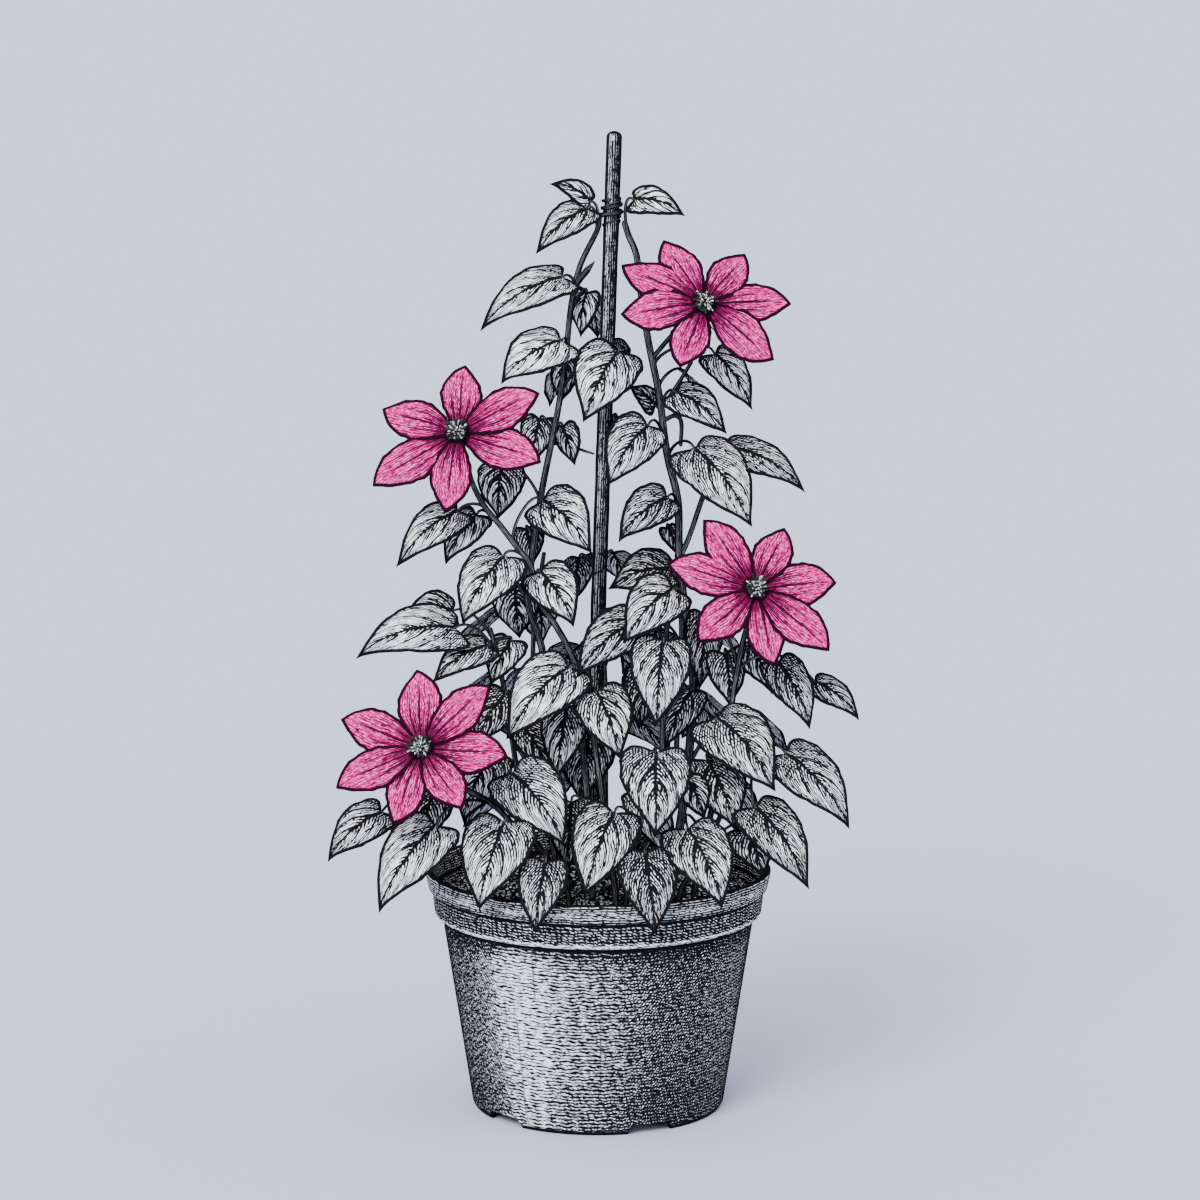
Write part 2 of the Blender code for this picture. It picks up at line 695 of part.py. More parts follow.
def bloom(name, collection):
    middle, facing, *tepals = BLOOMS[name]
    middle = Vector(middle) * MM
    right, up, normal = bloom_axes(facing)
    pieces = [
        disc(name + "_receptacle", middle, normal, RECEPTACLE_RADIUS, -RECEPTACLE_DEPTH, RECEPTACLE_DEPTH, 12, collection)
    ]
    for number, (angle, length, width) in enumerate(tepals):
        turn = math.radians(angle)
        outward = right * math.sin(turn) + up * math.cos(turn)
        layer = normal * (1.1 * MM if number % 2 else -0.9 * MM)
        base = middle + outward * 3 * MM + layer
        tip = middle + outward * length * MM + layer
        pieces.append(tepal(name + "_tepal", base, tip, normal, width * MM, collection))
    return fuse(name, pieces, collection)


def stamens(name, bloom_name, collection):
    """The pale boss in a bloom's middle: a dome with its filaments standing out of it."""
    middle, facing, *_ = BLOOMS[bloom_name]
    right, up, normal = bloom_axes(facing)
    seat = Vector(middle) * MM + normal * (RECEPTACLE_DEPTH + GAP)
    pieces = [disc(name + "_dome", seat, normal, BOSS_RADIUS * 0.8, 0, 4 * MM, 12, collection)]
    for number in range(FILAMENTS):
        turn = number * math.radians(137.5)
        lean = math.acos(1 - 0.86 * (number + 0.5) / FILAMENTS)
        away = (right * math.cos(turn) + up * math.sin(turn)) * math.sin(lean) + normal * math.cos(lean)
        root = seat + normal * 2.2 * MM
        points = [root, root + away * 9.5 * MM]
        pieces.append(tube(name + "_filament", points, [1.1 * MM, 1.1 * MM], 0, collection))
    return fuse(name, pieces, collection)


def turned(name, profile, steps, collection):
    """A turned solid from its profile at +X, which starts and ends on the axis."""
    mesh = bpy.data.meshes.new(name)
    points = [(radius, 0, height) for radius, height in profile]
    mesh.from_pydata(points, [(i, i + 1) for i in range(len(points) - 1)], [])
    obj = object_from(name, mesh, collection)
    screw = obj.modifiers.new("turn", "SCREW")
    screw.steps = steps
    screw.render_steps = steps
    screw.use_merge_vertices = True
    screw.merge_threshold = 0.00005
    screw.use_smooth_shade = True
    return obj


def inner_wall_radius(height):
    share = (height - FLOOR_TOP) / (COLLAR_FOOT_HEIGHT - FLOOR_TOP)
    return WALL_FOOT_RADIUS + (WALL_TOP_RADIUS - WALL_FOOT_RADIUS) * share - WALL_THICKNESS


def cutter(name, mesh, place, cutters):
    obj = object_from(name, mesh, cutters)
    obj.matrix_world = place
    obj.hide_render = True
    obj.display_type = "WIRE"
    return obj


def cut(obj, tool):
    boolean = obj.modifiers.new(tool.name, "BOOLEAN")
    boolean.operation = "DIFFERENCE"
    boolean.solver = "EXACT"
    boolean.object = tool


def cylinder_mesh(name, radius, length, sides):
    mesh = bpy.data.meshes.new(name)
    shape = bmesh.new()
    bmesh.ops.create_cone(
        shape, cap_ends=True, segments=sides, radius1=radius, radius2=radius, depth=length
    )
    shape.to_mesh(mesh)
    shape.free()
    return mesh


def pot(collection, cutters):
    profile = [
        (0, FLOOR_TOP),
        (inner_wall_radius(FLOOR_TOP), FLOOR_TOP),
        (inner_wall_radius(INNER_STEP_LOW), INNER_STEP_LOW),
        (COLLAR_FOOT_RADIUS - WALL_THICKNESS, INNER_STEP_HIGH),
        (COLLAR_TOP_RADIUS - WALL_THICKNESS, LIP_FOOT_HEIGHT - 2 * MM),
        (RIM_RADIUS - 6.5 * MM, POT_HEIGHT - 2 * MM),
        (RIM_RADIUS - 4.5 * MM, POT_HEIGHT),
        (RIM_RADIUS - 1.2 * MM, POT_HEIGHT - 0.5 * MM),
        (RIM_RADIUS, POT_HEIGHT - 2.6 * MM),
        (LIP_FOOT_RADIUS, LIP_FOOT_HEIGHT),
        (COLLAR_TOP_RADIUS, LIP_FOOT_HEIGHT - 1 * MM),
        (COLLAR_FOOT_RADIUS + 0.6 * MM, COLLAR_FOOT_HEIGHT + 2.4 * MM),
        (COLLAR_FOOT_RADIUS - 1 * MM, COLLAR_FOOT_HEIGHT),
        (WALL_TOP_RADIUS, COLLAR_FOOT_HEIGHT - 2 * MM),
        (WALL_FOOT_RADIUS, FOOT_RISE),
        (FOOT_RADIUS, 0),
        (FOOT_RADIUS - 4 * MM, 0),
        (FOOT_RADIUS - 5 * MM, FLOOR_UNDERSIDE),
        (CENTRE_BOSS_RADIUS + 2 * MM, FLOOR_UNDERSIDE),
        (CENTRE_BOSS_RADIUS, 0),
        (0, 0),
    ]
    obj = turned("pot", profile, POT_SIDES, collection)
    notch_mesh = bpy.data.meshes.new("notch")
    shape = bmesh.new()
    bmesh.ops.create_cube(shape, size=1)
    bmesh.ops.scale(shape, vec=(24 * MM, NOTCH_WIDTH, 2 * NOTCH_HEIGHT), verts=shape.verts)
    along_wall = [edge for edge in shape.edges if abs((edge.verts[0].co - edge.verts[1].co).x) > MM]
    bmesh.ops.bevel(shape, geom=along_wall, offset=5 * MM, segments=2, affect="EDGES", profile=0.5)
    shape.to_mesh(notch_mesh)
    shape.free()
    for number in range(NOTCHES):
        turn = FIRST_NOTCH_TURN + number * math.tau / NOTCHES - math.pi / 2
        place = Matrix.Rotation(turn, 4, "Z") @ Matrix.Translation((WALL_FOOT_RADIUS, 0, 0))
        cut(obj, cutter(f"notch_{number}", notch_mesh, place, cutters))
    hole_mesh = cylinder_mesh("drain_hole", DRAIN_HOLE_RADIUS, 10 * MM, 12)
    for number in range(DRAIN_HOLES):
        turn = FIRST_NOTCH_TURN + (number + 0.5) * math.tau / DRAIN_HOLES - math.pi / 2
        middle = (DRAIN_HOLE_CIRCLE * math.cos(turn), DRAIN_HOLE_CIRCLE * math.sin(turn), FLOOR_UNDERSIDE + 1.5 * MM)
        cut(obj, cutter(f"drain_{number}", hole_mesh, Matrix.Translation(middle), cutters))
    return obj


def soil_bump(x, y):
    """The soil's rough top, as a sum of a few waves that don't repeat in step."""
    a, b = x / MM, y / MM
    waves = math.sin(0.11 * a + 0.07 * b) + math.sin(0.05 * a - 0.16 * b + 1) + math.sin(0.21 * a + 0.13 * b + 2)
    return SOIL_BUMP * waves / 3


def soil(collection, cutters):
    """The soil fills the pot to about 20 mm below the rim, and each stem stands in a plain hole in it."""
    wall_gap = 0.5 * MM
    low = FLOOR_TOP + GAP
    wall = inner_wall_radius
    collar_top = COLLAR_FOOT_RADIUS - WALL_THICKNESS - wall_gap
    profile = [
        (0, SOIL_HEIGHT), (38 * MM, SOIL_HEIGHT), (74 * MM, SOIL_HEIGHT), (106 * MM, SOIL_HEIGHT),
        (collar_top + 1 * MM, SOIL_HEIGHT - 3 * MM),
        (collar_top, INNER_STEP_HIGH + wall_gap),
        (wall(INNER_STEP_LOW) - wall_gap, INNER_STEP_LOW + wall_gap),
        (wall(low) - wall_gap, low),
        (0, low),
    ]
    obj = turned("soil", profile, POT_SIDES, collection)
    mesh = evaluated_mesh(obj)
    bpy.data.objects.remove(obj, do_unlink=True)
    for vertex in mesh.vertices:
        if vertex.co.z > SOIL_HEIGHT - 1 * MM:
            vertex.co.z += soil_bump(vertex.co.x, vertex.co.y)
    obj = object_from("soil", mesh, collection)
    for name, ((foot_radius, _), foot, *_) in STEMS.items():
        radius = foot_radius * MM + HOLE_CLEARANCE
        hole = cylinder_mesh(name + "_hole", radius, 60 * MM, 8)
        middle = Vector((PLANT_SET_OFF + foot[0] * MM, foot[1] * MM, STEM_ROOT_HEIGHT - HOLE_CLEARANCE + 30 * MM))
        cut(obj, cutter(name + "_hole", hole, Matrix.Translation(middle), cutters))
    lean = CANE_TOP - CANE_FOOT
    hole = cylinder_mesh("cane_hole", CANE_RADIUS + HOLE_CLEARANCE, 160 * MM, 16)
    middle = CANE_FOOT + lean.normalized() * (80 * MM - HOLE_CLEARANCE) + Vector((PLANT_SET_OFF, 0, 0))
    place = Matrix.Translation(middle) @ lean.to_track_quat("Z", "Y").to_matrix().to_4x4()
    cut(obj, cutter("cane_hole", hole, place, cutters))
    return obj


def cane(collection):
    lean = CANE_TOP - CANE_FOOT
    length = lean.length
    dome = []
    for angle in (60, 30, 0):
        turn = math.radians(angle)
        dome.append((CANE_RADIUS * math.cos(turn), length - CANE_DOME * (1 - math.sin(turn))))
    profile = [(0, length), *dome, (CANE_RADIUS, 0), (0, 0)]
    obj = turned("cane", profile, 16, collection)
    obj.location = CANE_FOOT
    obj.rotation_mode = "QUATERNION"
    obj.rotation_quaternion = lean.to_track_quat("Z", "Y")
    return obj


def build():
    remove_everything()
    clematis = new_collection("potted_clematis")
    cutters = new_collection("cutters")
    cutters.hide_render = True
    made = [
        (pot(clematis, cutters), POT_FINISH),
        (soil(clematis, cutters), SOIL_FINISH),
        (cane(clematis), CANE_FINISH),
    ]
    for name in STEMS:
        made.append((leafy_stem(name, clematis), LEAF_FINISH))
    for name in BLOOMS:
        made.append((bloom(name, clematis), TEPAL_FINISH))
        made.append((stamens(name.replace("bloom", "stamens"), name, clematis), STAMEN_FINISH))
    for obj, (colour, roughness) in made:
        if obj.name not in ("pot", "soil"):
            obj.location.x += PLANT_SET_OFF
        obj.data.materials.clear()
        obj.data.materials.append(finish(obj.name, colour, roughness))
        if obj.name in ("pot", "cane"):
            obj.data.set_sharp_from_angle(angle=math.radians(35))


build()
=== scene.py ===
"""The looks of a clematis trained up a cane in a nursery pot, drawn in ink greys with pink flowers.

Everything is in metres with +Z up. The front of the plant faces -Y, and +X is to the right.
"""

import math
import random

import bmesh
import bpy
import numpy as np
from mathutils import Matrix, Vector


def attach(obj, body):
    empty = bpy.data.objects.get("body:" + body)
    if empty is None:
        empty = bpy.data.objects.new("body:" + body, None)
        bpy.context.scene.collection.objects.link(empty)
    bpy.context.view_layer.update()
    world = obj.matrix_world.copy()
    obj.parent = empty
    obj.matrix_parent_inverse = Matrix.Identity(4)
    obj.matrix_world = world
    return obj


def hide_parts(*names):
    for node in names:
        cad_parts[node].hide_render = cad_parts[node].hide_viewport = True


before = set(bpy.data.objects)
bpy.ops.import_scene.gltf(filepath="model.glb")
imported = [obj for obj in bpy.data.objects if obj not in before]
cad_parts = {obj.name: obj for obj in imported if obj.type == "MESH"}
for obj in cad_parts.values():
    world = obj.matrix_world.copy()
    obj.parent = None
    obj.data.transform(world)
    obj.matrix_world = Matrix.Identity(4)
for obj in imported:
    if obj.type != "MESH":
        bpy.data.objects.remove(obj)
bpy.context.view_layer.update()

# Camera. It stands about three metres off and a little above the plant, level from left to right.
# The drawing's frame is square, and its upright edges stay upright.
PHOTO_SIDE_PX = 1200
FOCAL_LENGTH_PX = 4054
SENSOR_WIDTH = 36
CAMERA_PLACE = (0.0015, -3.1, 0.907)
CAMERA_LOOKS_DOWN = math.radians(9.28)


def in_scene(name, data):
    """A new object in the scene with this data."""
    obj = bpy.data.objects.new(name, data)
    bpy.context.scene.collection.objects.link(obj)
    return obj


camera_data = bpy.data.cameras.new("camera")
camera_data.sensor_width = SENSOR_WIDTH
camera_data.lens = SENSOR_WIDTH * FOCAL_LENGTH_PX / PHOTO_SIDE_PX
camera_data.clip_end = 1000
camera = in_scene("camera", camera_data)
camera.location = CAMERA_PLACE
camera.rotation_euler = (math.pi / 2 - CAMERA_LOOKS_DOWN, 0, 0)
bpy.context.scene.camera = camera

# Floor and light. The floor is plain pale paper, blue-grey, and runs out past the frame on every side.
# One broad soft light from the upper left shades the pot to the right, and the sky fills the shadows.
FLOOR_SIDE = 600
FLOOR_COLOUR = (0.488, 0.542, 0.658, 1)
SKY_COLOUR = (0.86, 0.9, 1, 1)
SKY_STRENGTH = 1.8
SUN_STRENGTH = 3.9
SUN_WIDTH = math.radians(28)
SUN_FROM = (-0.4, -0.9, 0.8)


def matt_material(name, roughness):
    """A material that doesn't gloss, with its node tree and its shader."""
    material = bpy.data.materials.new(name)
    material.use_nodes = True
    shader = material.node_tree.nodes["Principled BSDF"]
    shader.inputs["Roughness"].default_value = roughness
    shader.inputs["Specular IOR Level"].default_value = 0
    return material, material.node_tree, shader


def mesh_from(name, shape):
    """A mesh of a shape that is then done with."""
    mesh = bpy.data.meshes.new(name)
    shape.to_mesh(mesh)
    shape.free()
    return mesh


floor_shape = bmesh.new()
bmesh.ops.create_grid(floor_shape, x_segments=1, y_segments=1, size=FLOOR_SIDE / 2)
floor = in_scene("floor", mesh_from("floor", floor_shape))
floor_paper, _, floor_shader = matt_material("floor_paper", 0.95)
floor_shader.inputs["Base Color"].default_value = FLOOR_COLOUR
floor.data.materials.append(floor_paper)

sky = bpy.data.worlds.new("sky")
bpy.context.scene.world = sky
sky.use_nodes = True
sky.node_tree.nodes["Background"].inputs["Color"].default_value = SKY_COLOUR
sky.node_tree.nodes["Background"].inputs["Strength"].default_value = SKY_STRENGTH

sun_data = bpy.data.lights.new("sun", "SUN")
sun_data.energy = SUN_STRENGTH
sun_data.angle = SUN_WIDTH
in_scene("sun", sun_data).rotation_euler = Vector(SUN_FROM).to_track_quat("Z", "Y").to_euler()

# Pot. A moulded nursery pot with a rolled rim, a two-step collar, and notches and drain holes in its foot.
# Its grained grey wall carries fine hatching, which runs round the rim and both ways on the wall, and
# whose density paints the pot's light and shade.
MM = 0.001
POT_HEIGHT = 190 * MM
RIM_RADIUS = 135.5 * MM
LIP_FOOT_RADIUS = 132.5 * MM
LIP_FOOT_HEIGHT = 174 * MM
COLLAR_TOP_RADIUS = 130 * MM
COLLAR_FOOT_RADIUS = 127.5 * MM
COLLAR_FOOT_HEIGHT = 153.5 * MM
INNER_STEP_LOW = 157 * MM
INNER_STEP_HIGH = 160 * MM
WALL_TOP_RADIUS = 122 * MM
WALL_FOOT_RADIUS = 99 * MM
WALL_THICKNESS = 3 * MM
FOOT_RADIUS = 97 * MM
FOOT_RISE = 3 * MM
FLOOR_UNDERSIDE = 9 * MM
FLOOR_TOP = 12 * MM
CENTRE_BOSS_RADIUS = 30 * MM
CORNER_RADIUS = 1.2 * MM
CORNER_STEPS = 4
# A corner's arc takes up no more than this share of the sides that meet there
CORNER_REACH = 0.45
NOTCHES = 5
NOTCH_DEPTH = 24 * MM
NOTCH_WIDTH = 36 * MM
NOTCH_HEIGHT = 8 * MM
NOTCH_CORNER = 5.5 * MM
NOTCH_CORNER_STEPS = 8
# Where the first notch is, round the pot from its right side
FIRST_NOTCH_TURN = math.radians(-137.5)
DRAIN_HOLES = 5
DRAIN_HOLE_RADIUS = 7 * MM
DRAIN_HOLE_CIRCLE = 74 * MM
DRAIN_HOLE_STEPS = 40
DRAIN_CUT_DEPTH = 10 * MM
POT_TURN_STEPS = 144
# Edges of the pot are sharp from this many degrees
POT_SHARP_FROM = 38
# How much ink covers the wall and the collar, by degrees round the pot from the front to the right. It
# paints the pot's light and shade: a painted highlight a little left of the front, painted shade to the
# right, and the darkest painted shade at both sides
WALL_PAINTED_SHADES = (
    (-150, 0.5), (-120, 0.6), (-98, 0.9), (-84, 1.2), (-74, 0.84), (-54, 0.7), (-44, 0.5),
    (-32, 0.33), (-24, 0.33), (-15, 0.48), (0, 0.54), (14, 0.6), (28, 0.64), (44, 0.64),
    (60, 0.6), (74, 0.7), (84, 1.2), (98, 0.9), (120, 0.64), (150, 0.6),
)
COLLAR_PAINTED_SHADES = (
    (-150, 0.66), (-112, 0.8), (-84, 1.2), (-66, 0.92), (-44, 0.84), (-28, 0.8), (-4, 0.78),
    (20, 0.82), (40, 0.84), (66, 0.9), (84, 1.2), (112, 0.8), (150, 0.7),
)
# Painted shade at the very back of the pot, where both curves end
BACK_PAINTED_SHADE = 0.7
INK = (0.007, 0.007, 0.008, 1)
POT_PAPER = (0.93, 0.94, 0.96, 1)
# The widths of the pot's strokes are right at this distance from its axis, in millimetres
STROKES_FIT_RADIUS = 115
# Thin upright marks on the wall: degrees round it, and the heights they run between in millimetres
UPRIGHT_MARKS = ((-24.5, 108, 150), (-33.5, 12, 92), (-38.5, 56, 104), (1, 34, 112), (10, 84, 128))
# Dark lines round the pot at the foot of the lip, the foot of the collar and the top: how far below
# each of them, and how wide, in millimetres. The lines under the lip and the collar paint the shade under
# their overhangs, and the one at the top is an outline
LIP_SHADE_LINE = (0.8, 3)
COLLAR_SHADE_LINE = (1.4, 4)
TOP_LINE = (0.3, 2)


def inner_wall_radius(height):
    share = (height - FLOOR_TOP) / (COLLAR_FOOT_HEIGHT - FLOOR_TOP)
    return WALL_FOOT_RADIUS + (WALL_TOP_RADIUS - WALL_FOOT_RADIUS) * share - WALL_THICKNESS


def round_axis(radius, turn, height=0):
    """The place at this distance and turn round the upright axis."""
    return Vector((radius * math.cos(turn), radius * math.sin(turn), height))


def rounded(profile):
    """The same profile with each inner corner turned into a small arc."""
    points = [Vector(point) for point in profile]
    result = [points[0]]
    for before, corner, after in zip(points, points[1:], points[2:]):
        back, onward = before - corner, after - corner
        reach = min(CORNER_RADIUS, back.length * CORNER_REACH, onward.length * CORNER_REACH)
        start, end = corner + back.normalized() * reach, corner + onward.normalized() * reach
        for step in range(CORNER_STEPS + 1):
            t = step / CORNER_STEPS
            result.append(start * (1 - t) ** 2 + corner * 2 * t * (1 - t) + end * t**2)
    return [*result, points[-1]]


def as_modified(obj):
    """A mesh of an object as its modifiers leave it."""
    return bpy.data.meshes.new_from_object(obj.evaluated_get(bpy.context.evaluated_depsgraph_get()))


def turned_mesh(name, profile, steps):
    """A turned solid's mesh, from a profile that starts and ends on the axis."""
    mesh = bpy.data.meshes.new(name)
    mesh.from_pydata([(r, 0, z) for r, z in profile], [(i, i + 1) for i in range(len(profile) - 1)], [])
    obj = in_scene(name, mesh)
    screw = obj.modifiers.new("turn", "SCREW")
    screw.steps = steps
    screw.render_steps = steps
    screw.use_merge_vertices = True
    screw.merge_threshold = 0.01 * MM
    made = as_modified(obj)
    bpy.data.objects.remove(obj)
    return made


def coat(mesh, sharp_from, *materials):
    """Shades a mesh smoothly, but for edges from this many degrees, and gives it its materials."""
    mesh.shade_smooth()
    mesh.set_sharp_from_angle(angle=math.radians(sharp_from))
    mesh.materials.clear()
    for material in materials:
        mesh.materials.append(material)


def finished_piece(name, mesh, node, place=(0, 0, 0)):
    """Puts a piece in the scene in place of its CAD node."""
    obj = in_scene(name, mesh)
    obj.location = place
    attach(obj, "root")
    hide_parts(node)
    return obj


class Value:
    """What a material works out at each point, mostly a number. Arithmetic with it adds nodes."""

    def __init__(self, socket):
        self.socket = socket
        self.tree = socket.id_data

    def calc(self, operation, other=0):
        return Value(put(self.tree, "ShaderNodeMath", {0: self, 1: other}, operation=operation).outputs[0])

    def toward(self, other, share):
        """This number where the share is 0, and the other where it is 1."""
        return Value(put(self.tree, "ShaderNodeMix", {"Factor": share, "A": self, "B": other}).outputs[0])

    def __add__(self, other):
        return self.calc("ADD", other)

    def __sub__(self, other):
        return self.calc("SUBTRACT", other)

    def __rsub__(self, whole):
        return self.calc("MULTIPLY", -1) + whole

    def __mul__(self, other):
        return self.calc("MULTIPLY", other)

    def __truediv__(self, other):
        return self.calc("DIVIDE", other)

    def __abs__(self):
        return self.calc("ABSOLUTE")


def put(tree, kind, inputs=None, **settings):
    """Adds a node, sets its properties, and gives each named input a value or a link."""
    node = tree.nodes.new(kind)
    for key, value in settings.items():
        setattr(node, key, value)
    for key, value in (inputs or {}).items():
        if isinstance(value, Value):
            tree.links.new(value.socket, node.inputs[key])
        else:
            node.inputs[key].default_value = value
    return node


def fade(value, start, end, low=0, high=1):
    """Runs smoothly from low, where the value is at the start, to high, where it is at the end."""
    ends = {"Value": value, "From Min": start, "From Max": end, "To Min": low, "To Max": high}
    return Value(put(value.tree, "ShaderNodeMapRange", ends, interpolation_type="SMOOTHSTEP").outputs[0])


def darkest(mask, *others):
    for other in others:
        mask = mask.calc("MAXIMUM", other)
    return mask


def noise(place, scale=1, detail=1):
    fed = {"Vector": place, "Scale": scale, "Detail": detail}
    return Value(put(place.tree, "ShaderNodeTexNoise", fed).outputs["Fac"])


def object_place(tree):
    return Value(put(tree, "ShaderNodeTexCoord").outputs["Object"])


def normal_way(tree):
    return Value(put(tree, "ShaderNodeNewGeometry").outputs["Normal"])


def joined(x, y, z=0):
    return Value(put(x.tree, "ShaderNodeCombineXYZ", {"X": x, "Y": y, "Z": z}).outputs[0])


def split(place):
    """The three numbers of a place."""
    return [Value(axis) for axis in put(place.tree, "ShaderNodeSeparateXYZ", {"Vector": place}).outputs]


# How far strokes wander, and how much they swell and break off, as shares of their spacing, then how much
# wider they are than the share asked for, how soft their edges are and how wide they get at most
STROKE_WANDER = 1.5
STROKE_BREAKS = 2.2
STROKE_FILL = 1.15
STROKE_SOFTNESS = 0.2
STROKE_WIDEST = 0.74
# How fast a stroke's wandering changes from one stroke to the next and along it, and how fast its breaks
# change from one stroke to the next, each for one spacing or one length
WANDER_ACROSS = 0.3
WANDER_ALONG = 0.9
BREAKS_ACROSS = 0.8


def strokes_group():
    """Strokes side by side at a spacing. They wander, swell, thin, fork and break off along their way.

    Together they cover about the share asked for, and some paper always shows between two.
    """
    group = bpy.data.node_groups.new("pen_strokes", "ShaderNodeTree")
    for name in ("Across", "Along", "Spacing", "Length", "Share", "Seed"):
        group.interface.new_socket(name, in_out="INPUT", socket_type="NodeSocketFloat")
    group.interface.new_socket("Ink", in_out="OUTPUT", socket_type="NodeSocketFloat")
    given = [Value(socket) for socket in group.nodes.new("NodeGroupInput").outputs]
    across, along, spacing, length, share, seed = given[:6]
    line, stretch = across / spacing, along / length
    wander = noise(joined(line * WANDER_ACROSS, stretch * WANDER_ALONG, seed)) - 0.5
    line = line + wander * STROKE_WANDER
    off_line = abs(line.calc("FRACT") - 0.5) * 2
    breaks = noise(joined(line * BREAKS_ACROSS, stretch, seed + 7)) - 0.5
    width = share * STROKE_FILL + breaks * STROKE_BREAKS
    over = width.calc("MINIMUM", STROKE_WIDEST) - off_line
    put(group, "NodeGroupOutput", {"Ink": fade(over, -STROKE_SOFTNESS, STROKE_SOFTNESS)})
    return group


STROKES_GROUP = strokes_group()


def pen_strokes(across, along, spacing, length, share, seed):
    """Ink of strokes that run along, with their spacing and length in millimetres."""
    given = {"Across": across, "Along": along, "Spacing": spacing, "Length": length}
    given.update({"Share": share, "Seed": seed})
    return Value(put(across.tree, "ShaderNodeGroup", given, node_tree=STROKES_GROUP).outputs["Ink"])


def inked(paper, ink, mask):
    """The paper colour with the ink laid over it by the mask."""
    mix = put(mask.tree, "ShaderNodeMix", {"Factor": mask, 6: paper, 7: ink}, data_type="RGBA")
    return Value(mix.outputs[2])


def draw_on(shader, colour, height=None, depth=0.0, strength=1.0):
    """Gives a shader its colour and, where there is a height, its bump."""
    colour.tree.links.new(colour.socket, shader.inputs["Base Color"])
    if height is not None:
        given = {"Height": height, "Distance": depth, "Strength": strength}
        bump = put(height.tree, "ShaderNodeBump", given)
        height.tree.links.new(bump.outputs[0], shader.inputs["Normal"])


def painted_shade_curve(turn, shades):
    """The share of ink at degrees round the pot, which paints its light and shade, read off a curve
    through the shades.
    """
    curve = put(turn.tree, "ShaderNodeFloatCurve", {"Value": turn / 360 + 0.5})
    points = curve.mapping.curves[0].points
    for degrees, share in shades:
        points.new((degrees + 180) / 360, share)
    points[0].location = (0, BACK_PAINTED_SHADE)
    points[len(points) - 1].location = (1, BACK_PAINTED_SHADE)
    curve.mapping.update()
    return Value(curve.outputs[0])


def leaning(around, up, degrees, spacing, length, share, seed):
    """Pen strokes on a turned wall that rise to the right by this many degrees."""
    cos, sin = math.cos(math.radians(degrees)), math.sin(math.radians(degrees))
    return pen_strokes(up * cos - around * sin, around * cos + up * sin, spacing, length, share, seed)


def wall_hatching(turn, around, up, share):
    """Level dashes at the painted highlight a little left of the front, woven with slanting strokes to
    both sides of there.
    """
    level_share = share + fade(turn, -38, -52, -0.04, -0.5) + fade(turn, -4, 26, 0, -0.14)
    level = leaning(around, up, 0, 2.8, 7.5, level_share, 3)
    specks = leaning(around, up, -20, 2, 3, share - 0.24, 19)
    left = leaning(around, up, -54, 2.6, 6, share + fade(turn, -34, -46, -0.9, -0.1), 5)
    right = leaning(around, up, 50, 2.2, 4, share + fade(turn, -8, 30, -0.6, 0.04), 7)
    marks = []
    for degrees, low, high in UPRIGHT_MARKS:
        half = (high - low) / 2
        ends = fade(abs(up - (low + half)), half, half - 2, 0, 0.75)
        off = abs(around - math.radians(degrees) * STROKES_FIT_RADIUS)
        marks.append(fade(off, 0.9, 0.4) * ends)
    return darkest(level, specks, left, right, *marks)


